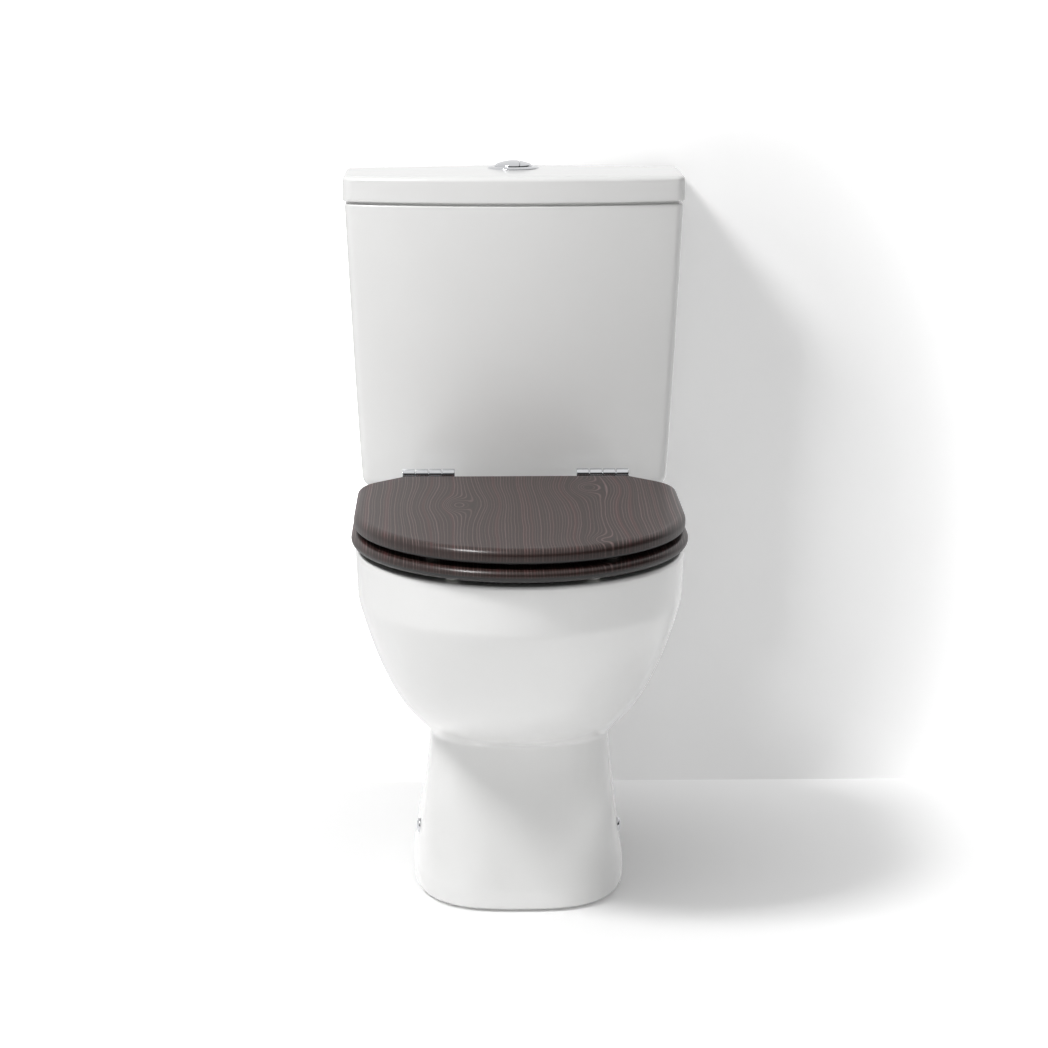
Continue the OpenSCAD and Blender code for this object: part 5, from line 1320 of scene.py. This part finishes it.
class TOILET_OT_flush_valve(bpy.types.Operator):
    """Builds the flush valve: caged body, blue tower, piston with its seal, nut, washer and plungers"""

    bl_idname = "toilet.flush_valve"
    bl_label = "Flush valve"

    def execute(self, context):
        s = layout(context)
        flange_z = s.tank_floor + 3
        lip_z, cage_z = flange_z + 8, flange_z + 54
        tower_z = s.cover_top - WELL_DEPTH - 90
        tail_z = s.rim_h - 14
        body = spun([
            (24.8, tail_z), (29.8, tail_z), (29.8, flange_z), (40, flange_z), (40, flange_z + 5),
            (27.8, flange_z + 5), (27.8, lip_z), (24.8, lip_z)], 0.5, 72)
        posts = around(placed(rod(3.5, flange_z + 1, cage_z, 0.4, 24), shift(36)), 4, pi / 4)
        made(on_valve(s, joined(body, posts)), "valve_body_plastic", "base", "white_plastic", "valve_body")
        tower = spun([
            (17, cage_z), (40, cage_z), (40, cage_z + 4), (20, cage_z + 4), (20, tower_z), (0, tower_z),
            (0, tower_z - 4), (17, tower_z - 4)], 0.5, 72)
        tower = to_object(on_valve(s, tower), "valve_tower_plastic")
        for z in (cage_z + 40, cage_z + 80):
            carve(tower, on_valve(s, block((-22, -4, z), (22, 4, z + 24), 0)))
        for x in (FULL_X, HALF_X - 3):
            carve(tower, on_valve(s, rod(3, tower_z - 5, tower_z + 1, 0, 24), x))
        dress(tower, "base", "blue_plastic", "valve_tower")
        washer = on_valve(s, tube(40, 31, s.tank_floor, flange_z, 0.6, 64))
        made(washer, "valve_washer_rubber", "base", "black_rubber", "valve_floor_washer")
        nut_top = s.tank_z - 2.8
        ribs = around(block((36, -2, nut_top - 11.5), (39, 2, nut_top - 0.5), 0.6), 12)
        nut = on_valve(s, joined(tube(38, 29.85, nut_top - 12, nut_top, 0.8, 72), ribs))
        made(nut, "valve_backnut_plastic", "base", "white_plastic", "valve_backnut")
        disc_z = lip_z + 3.3
        piston = on_valve(s, spun([
            (13.5, disc_z), (30.8, disc_z), (30.8, disc_z + 4), (15.5, disc_z + 4), (15.5, tower_z - 46),
            (13.5, tower_z - 46)], 0.5, 64))
        made(piston, "valve_piston_plastic", "piston", "white_plastic", "valve_piston")
        seal = on_valve(s, tube(30.8, 13.5, disc_z - 3, disc_z, 0.8, 64))
        made(seal, "piston_seal_rubber", "piston", "black_rubber", "piston_seal")
        low, high = tower_z - 10, s.cover_top - WELL_DEPTH - 8
        for x, kind in ((FULL_X, "full"), (HALF_X - 3, "half")):
            plunger = spun([
                (0, low), (2.5, low), (2.5, low + 20), (4, low + 20), (4, low + 23), (2.5, low + 23),
                (2.5, high - 4), (3.5, high - 4), (3.5, high), (0, high)], 0.4, 32)
            made(
                on_valve(s, plunger, x), f"plunger_{kind}_plastic", f"{kind}_plunger", "white_plastic",
                f"plunger_{kind}")
        return {"FINISHED"}


class TOILET_OT_fill_valve(bpy.types.Operator):
    """Builds the fill valve with its threaded tail, and the arm, float, screw and pin that close it"""

    bl_idname = "toilet.fill_valve"
    bl_label = "Fill valve"

    def execute(self, context):
        s = layout(context)
        at_fill = shift(s.inlet_x, s.valve_y)
        base_z, head_z = s.tank_floor + 3, s.tank_floor + 255
        tail_z, groove_z, pivot_z = s.rim_h - 46, s.tank_z - 13.9, s.tank_floor + 243
        profile = [(6.4, tail_z), (9.6, tail_z)]
        z = tail_z + 1
        while z < groove_z - 2:
            profile += [(9.7, z), (10.4, z + 0.8), (10.4, z + 1.1)]
            z += 1.8
        profile += [(9.4, groove_z), (9.4, groove_z + 1.6), (10.4, groove_z + 1.8), (10.4, base_z), (17, base_z)]
        profile += [(17, base_z + 4), (11, base_z + 5), (11, head_z), (17, head_z), (17, head_z + 22)]
        profile += [(15, head_z + 24), (0, head_z + 24), (0, head_z - 2), (6.4, head_z - 2)]
        valve = [turned(profile), block((15, -6, head_z + 6), (31, 6, head_z + 24))]
        for y in (-6.3, 6.3):
            valve.append(block((0, y - 2, pivot_z - 5), (22, y + 2, head_z + 1)))
        made(placed(joined(*valve), at_fill), "fill_valve_plastic", "base", "white_plastic", "fill_valve")
        washer = placed(tube(17, 11.2, s.tank_floor, base_z, 0.6), at_fill)
        made(washer, "fill_washer_rubber", "base", "black_rubber", "fill_floor_washer")
        nut_top = s.tank_z - SEATED
        nut = to_object(placed(prism(17.4, nut_top - 11, nut_top, 0.8), at_fill), "fill_backnut_plastic")
        carve(nut, placed(rod(10.45, nut_top - 12, nut_top + 1, 0), at_fill))
        dress(nut, "base", "white_plastic", "fill_backnut")
        pivot = at_fill @ shift(0, 0, pivot_z)
        bearing, float_end = pivot @ shift(17) @ ALONG_Y, pivot @ shift(59)
        lever = joined(
            placed(rod(4, -4, 4, 0.4, 32), bearing), placed(rod(2, -8, 8, 0.3, 24), bearing),
            placed(block((17, -4, -2.5), (59, 4, 2.5)), pivot), placed(rod(6, -2.5, 2.5, 0.5, 40), float_end))
        made(lever, "float_arm_plastic", "float", "white_plastic", "float_arm")
        foam = placed(spun([(0, -84), (20, -84), (20, -24), (0, -24)], 4, 64, 5), float_end)
        made(foam, "float_foam", "float", "grey_plastic", "float", 50)
        screw = placed(joined(thread(2, -39, 14, 1.2, 0.4), rod(4, 14, 18, 0.5, 24)), float_end)
        made(screw, "float_screw_plastic", "float", "white_plastic", "float_screw")
        pin = placed(rod(2.5, 2.8, 24.8, 0.5, 24), pivot @ shift(25))
        made(pin, "inlet_pin_rubber", "inlet_pin", "black_rubber", "fill_plunger")
        return {"FINISHED"}


def coupling_outline(bolt_x):
    """The coupling plate in plan: a round middle with a rounded ear at each bolt."""
    ear_r, middle_r = 16, 44
    neck = atan2(ear_r, sqrt(middle_r * middle_r - ear_r * ear_r))
    ears = [arc((side * bolt_x, 0), ear_r, -side * QUARTER, pi, 16) for side in (1, -1)]
    waists = [arc((0, 0), middle_r, start + neck, pi - 2 * neck, 24) for start in (0, pi)]
    return ears[0] + waists[0] + ears[1] + waists[1]


def plate(outline, low, high):
    """A plate with this outline in plan and softened edges."""
    bm = loft([[(x, y, z) for x, y in outline] for z in (low, high)])
    return soften(bm, [e for e in bm.edges if spread(e, 2) < 0.01], 0.3)


class TOILET_OT_coupling(bpy.types.Operator):
    """Builds the close coupling: steel plate, ring seal, bolts, washers and wing nuts"""

    bl_idname = "toilet.coupling"
    bl_label = "Close coupling"

    def execute(self, context):
        s = layout(context)
        plate_z = s.tank_z - 2.5
        steel = plate(coupling_outline(s.coupling_x), plate_z, s.tank_z)
        steel = to_object(on_valve(s, steel), "coupling_plate_steel")
        for x, r in ((0, 30.8), (s.coupling_x, 4.5), (-s.coupling_x, 4.5)):
            carve(steel, on_valve(s, rod(r, plate_z - 1, s.tank_z + 1, 0), x))
        dress(steel, "base", "steel", "coupling_plate")
        seal = on_valve(s, tube(47, 39.5, s.rim_h - 22, plate_z - SEATED, 3, 72))
        made(seal, "doughnut_seal_rubber", "base", "black_rubber", "doughnut_seal")
        head_z = s.tank_floor + 3.3
        bolt = joined(thread(4, s.rim_h - 52, head_z + 0.7, 1.25, 0.55), prism(7.5, head_z, head_z + 5.5))
        washers = joined(*[tube(12, 4.5, z, z + 3, 0.6) for z in (s.tank_floor, s.deck_under - 3)])
        for bm, name, slot, node in (
                (bolt, "coupling_bolt_steel", "steel", "coupling_bolts"),
                (washers, "coupling_washer_rubber", "black_rubber", "coupling_washers"),
                (wing_nut(s.deck_under - 3, 4.05), "coupling_wing_nut_steel", "steel", "coupling_wing_nuts")):
            made(both_sides(on_valve(s, bm, s.coupling_x)), name, "base", slot, node)
        return {"FINISHED"}


def brightest(tree, *sources):
    """The largest of several values."""
    value = sources[0]
    for source in sources[1:]:
        value = add(tree, "ShaderNodeMath", {0: value, 1: source}, operation="MAXIMUM").outputs[0]
    return value


def pale_paper(name, tone, centre, reach, stops):
    """Matt white paper, whose emission to the camera is least near a centre: painted shade where the object's
    shadow falls, white far off.
    """
    material, tree, shader = new_material(name)
    if tree is None:
        return material
    set_inputs(shader, Base_Color=(*grey(tone), 1), Roughness=0.9, Emission_Color=(1, 1, 1, 1))
    path = add(tree, "ShaderNodeLightPath")
    mirrored = brightest(tree, path.outputs["Is Glossy Ray"], path.outputs["Is Transmission Ray"])
    near = object_space(tree, [1 / r for r in reach], [-c / r for c, r in zip(centre, reach)])
    far = add(tree, "ShaderNodeVectorMath", {0: near}, operation="LENGTH").outputs["Value"]
    glow_with_painted_shadow = ramp(tree, far, [(share, grey(strength)) for share, strength in stops])
    seen = add(tree, "ShaderNodeMath", {0: path.outputs["Is Camera Ray"], 1: glow_with_painted_shadow}, operation="MULTIPLY")
    lit = add(
        tree, "ShaderNodeMath", {0: mirrored, 2: seen.outputs[0]}, operation="MULTIPLY_ADD", in_1=0.25)
    tree.links.new(lit.outputs[0], shader.inputs["Emission Strength"])
    return material


def one_sided(material):
    """Leaves a paper sheet clear from behind, so that a backdrop hides nothing in the back views."""
    tree = material.node_tree
    behind = add(tree, "ShaderNodeNewGeometry").outputs["Backfacing"]
    clear = add(tree, "ShaderNodeBsdfTransparent")
    paper = tree.nodes["Principled BSDF"].outputs["BSDF"]
    sheet = add(tree, "ShaderNodeMixShader", {0: behind, 1: paper, 2: clear.outputs["BSDF"]})
    tree.links.new(sheet.outputs["Shader"], tree.nodes["Material Output"].inputs["Surface"])
    return material


def studio_world(fill):
    """Fill light that grows towards the zenith. Mirrors see a white room, dark low in front and at the right."""
    world = bpy.context.scene.world or bpy.data.worlds.new("studio")
    bpy.context.scene.world = world
    world.use_nodes = True
    tree = world.node_tree
    tree.nodes.clear()
    where = add(tree, "ShaderNodeTexCoord")
    split = add(tree, "ShaderNodeSeparateXYZ", {"Vector": where.outputs["Generated"]})
    aside = add(tree, "ShaderNodeMath", {0: split.outputs["X"], 1: split.outputs["Y"]}, operation="SUBTRACT")
    ahead = ramp(tree, aside.outputs[0], [(0.1, grey(0.0)), (0.35, grey(1.0))])
    low = ramp(tree, split.outputs["Z"], [(0.45, grey(1.0)), (0.7, grey(0.0))])
    dark = add(tree, "ShaderNodeMath", {0: ahead, 1: low}, operation="MULTIPLY").outputs[0]
    room = ramp(tree, dark, [(0.0, grey(0.92)), (1.0, grey(0.04))])
    path = add(tree, "ShaderNodeLightPath")
    sky = ramp(tree, split.outputs["Z"], [(0.0, grey(0.03)), (1.0, grey(fill))])
    lamp = add(tree, "ShaderNodeBackground", {"Color": sky}, in_Strength=1.0)
    mirror = add(tree, "ShaderNodeBackground", {"Color": room}, in_Strength=1.0)
    white = add(tree, "ShaderNodeBackground", in_Color=(1, 1, 1, 1), in_Strength=1.0)
    mirrored = brightest(tree, path.outputs["Is Glossy Ray"], path.outputs["Is Transmission Ray"])
    shiny = add(tree, "ShaderNodeMixShader", {0: mirrored, 1: lamp.outputs[0], 2: mirror.outputs[0]})
    seen = add(
        tree, "ShaderNodeMixShader", {0: path.outputs["Is Camera Ray"], 1: shiny.outputs[0], 2: white.outputs[0]})
    add(tree, "ShaderNodeOutputWorld", {"Surface": seen.outputs[0]})


def area_light(name, power, place, target, width, height):
    light = bpy.data.lights.new(name, "AREA")
    light.shape, light.energy, light.size, light.size_y = "RECTANGLE", power, width, height
    obj = bpy.data.objects.new(name, light)
    obj.location = place
    obj.rotation_euler = (Vector(target) - Vector(place)).to_track_quat("-Z", "Y").to_euler()
    bpy.context.scene.collection.objects.link(obj)
    return obj


class TOILET_OT_stage(bpy.types.Operator):
    """Sets the pale floor, the soft studio light and the camera of the photograph"""

    bl_idname = "toilet.stage"
    bl_label = "Floor, light and camera"

    def execute(self, context):
        scene = context.scene
        scene.view_settings.view_transform = "Standard"
        floor = bmesh.new()
        bmesh.ops.create_grid(floor, x_segments=1, y_segments=1, size=30000)
        floor = to_object(placed(floor, shift(0, 0, -0.5)), "studio_floor")
        # The floor's emission to the camera is least round the object, a painted shade that deepens its shadow
        # there, and brings the paper up to white further off
        floor.data.materials.append(pale_paper(
            "matt_white_paper", 0.95, (0, 0, 0), (5, 5, 5),
            [(0.03, 0.08), (0.066, 0.18), (0.094, 0.27), (0.16, 0.5), (0.3, 1.0)]))
        # The backdrop stands just behind the cistern and shows only the object's shadow. Its emission to the
        # camera is least in an oval where the cistern's shadow falls: a painted shadow laid over the lamp's own
        wall = bmesh.new()
        bmesh.ops.create_grid(wall, x_segments=1, y_segments=1, size=30000)
        wall = placed(wall, shift(0, COVER_HIGH.y + 6, 29999), Matrix.Rotation(QUARTER, 4, "X"))
        wall = to_object(wall, "studio_backdrop")
        wall.data.materials.append(one_sided(pale_paper(
            "matt_white_backdrop", 0.95, (0.25, 0, 0.33), (1.08, 1000, 1.88),
            [(0.2, 0.17), (0.25, 0.25), (0.32, 0.45), (0.4, 0.8), (0.55, 1.0)])))
        wall.visible_diffuse = wall.visible_glossy = wall.visible_transmission = wall.visible_shadow = False
        studio_world(0.6)
        area_light("key_softbox", 57, (-1.5, -1.08, 2.78), (0, -0.05, 0.4), 0.6, 0.6)
        # Light bounced from a white board, low in front and out of the frame
        board = area_light("front_board", 4.9, (0.2, -2.3, 0.42), (0, -0.1, 0.35), 1.2, 0.36)
        board.visible_glossy = False
        lens = bpy.data.cameras.new("photo_camera")
        lens.sensor_width, lens.lens, lens.clip_end = 36, 102.88, 100
        camera = bpy.data.objects.new("photo_camera", lens)
        camera.location = (-0.067, -3.2955, 1.052)
        camera.rotation_euler = (radians(78.73), 0, radians(-1.29))
        scene.collection.objects.link(camera)
        scene.camera = camera
        return {"FINISHED"}


PIECES = (
    TOILET_OT_pan, TOILET_OT_cistern, TOILET_OT_tank_lid, TOILET_OT_seat, TOILET_OT_buffers, TOILET_OT_hinges,
    TOILET_OT_button, TOILET_OT_flush_valve, TOILET_OT_fill_valve, TOILET_OT_coupling, TOILET_OT_fixings,
    TOILET_OT_stage)


class TOILET_PT_panel(bpy.types.Panel):
    """Lists the sizes, the colours and every piece's operator"""

    bl_label = "Toilet"
    bl_idname = "TOILET_PT_panel"
    bl_space_type = "VIEW_3D"
    bl_region_type = "UI"
    bl_category = "Toilet"

    def draw(self, context):
        for group in (context.scene.toilet_sizes, context.scene.toilet_colours):
            box = self.layout.box()
            for name in group.__annotations__:
                box.prop(group, name)
        for piece in PIECES:
            self.layout.operator(piece.bl_idname)


CLASSES = (ToiletSizes, ToiletColours, *PIECES, TOILET_PT_panel)


def register():
    for item in CLASSES:
        bpy.utils.register_class(item)
    bpy.types.Scene.toilet_sizes = PointerProperty(type=ToiletSizes)
    bpy.types.Scene.toilet_colours = PointerProperty(type=ToiletColours)


def unregister():
    del bpy.types.Scene.toilet_colours
    del bpy.types.Scene.toilet_sizes
    for item in reversed(CLASSES):
        bpy.utils.unregister_class(item)


def main():
    register()
    for piece in PIECES:
        getattr(bpy.ops.toilet, piece.bl_idname.split(".")[1])()


if __name__ == "__main__":
    main()
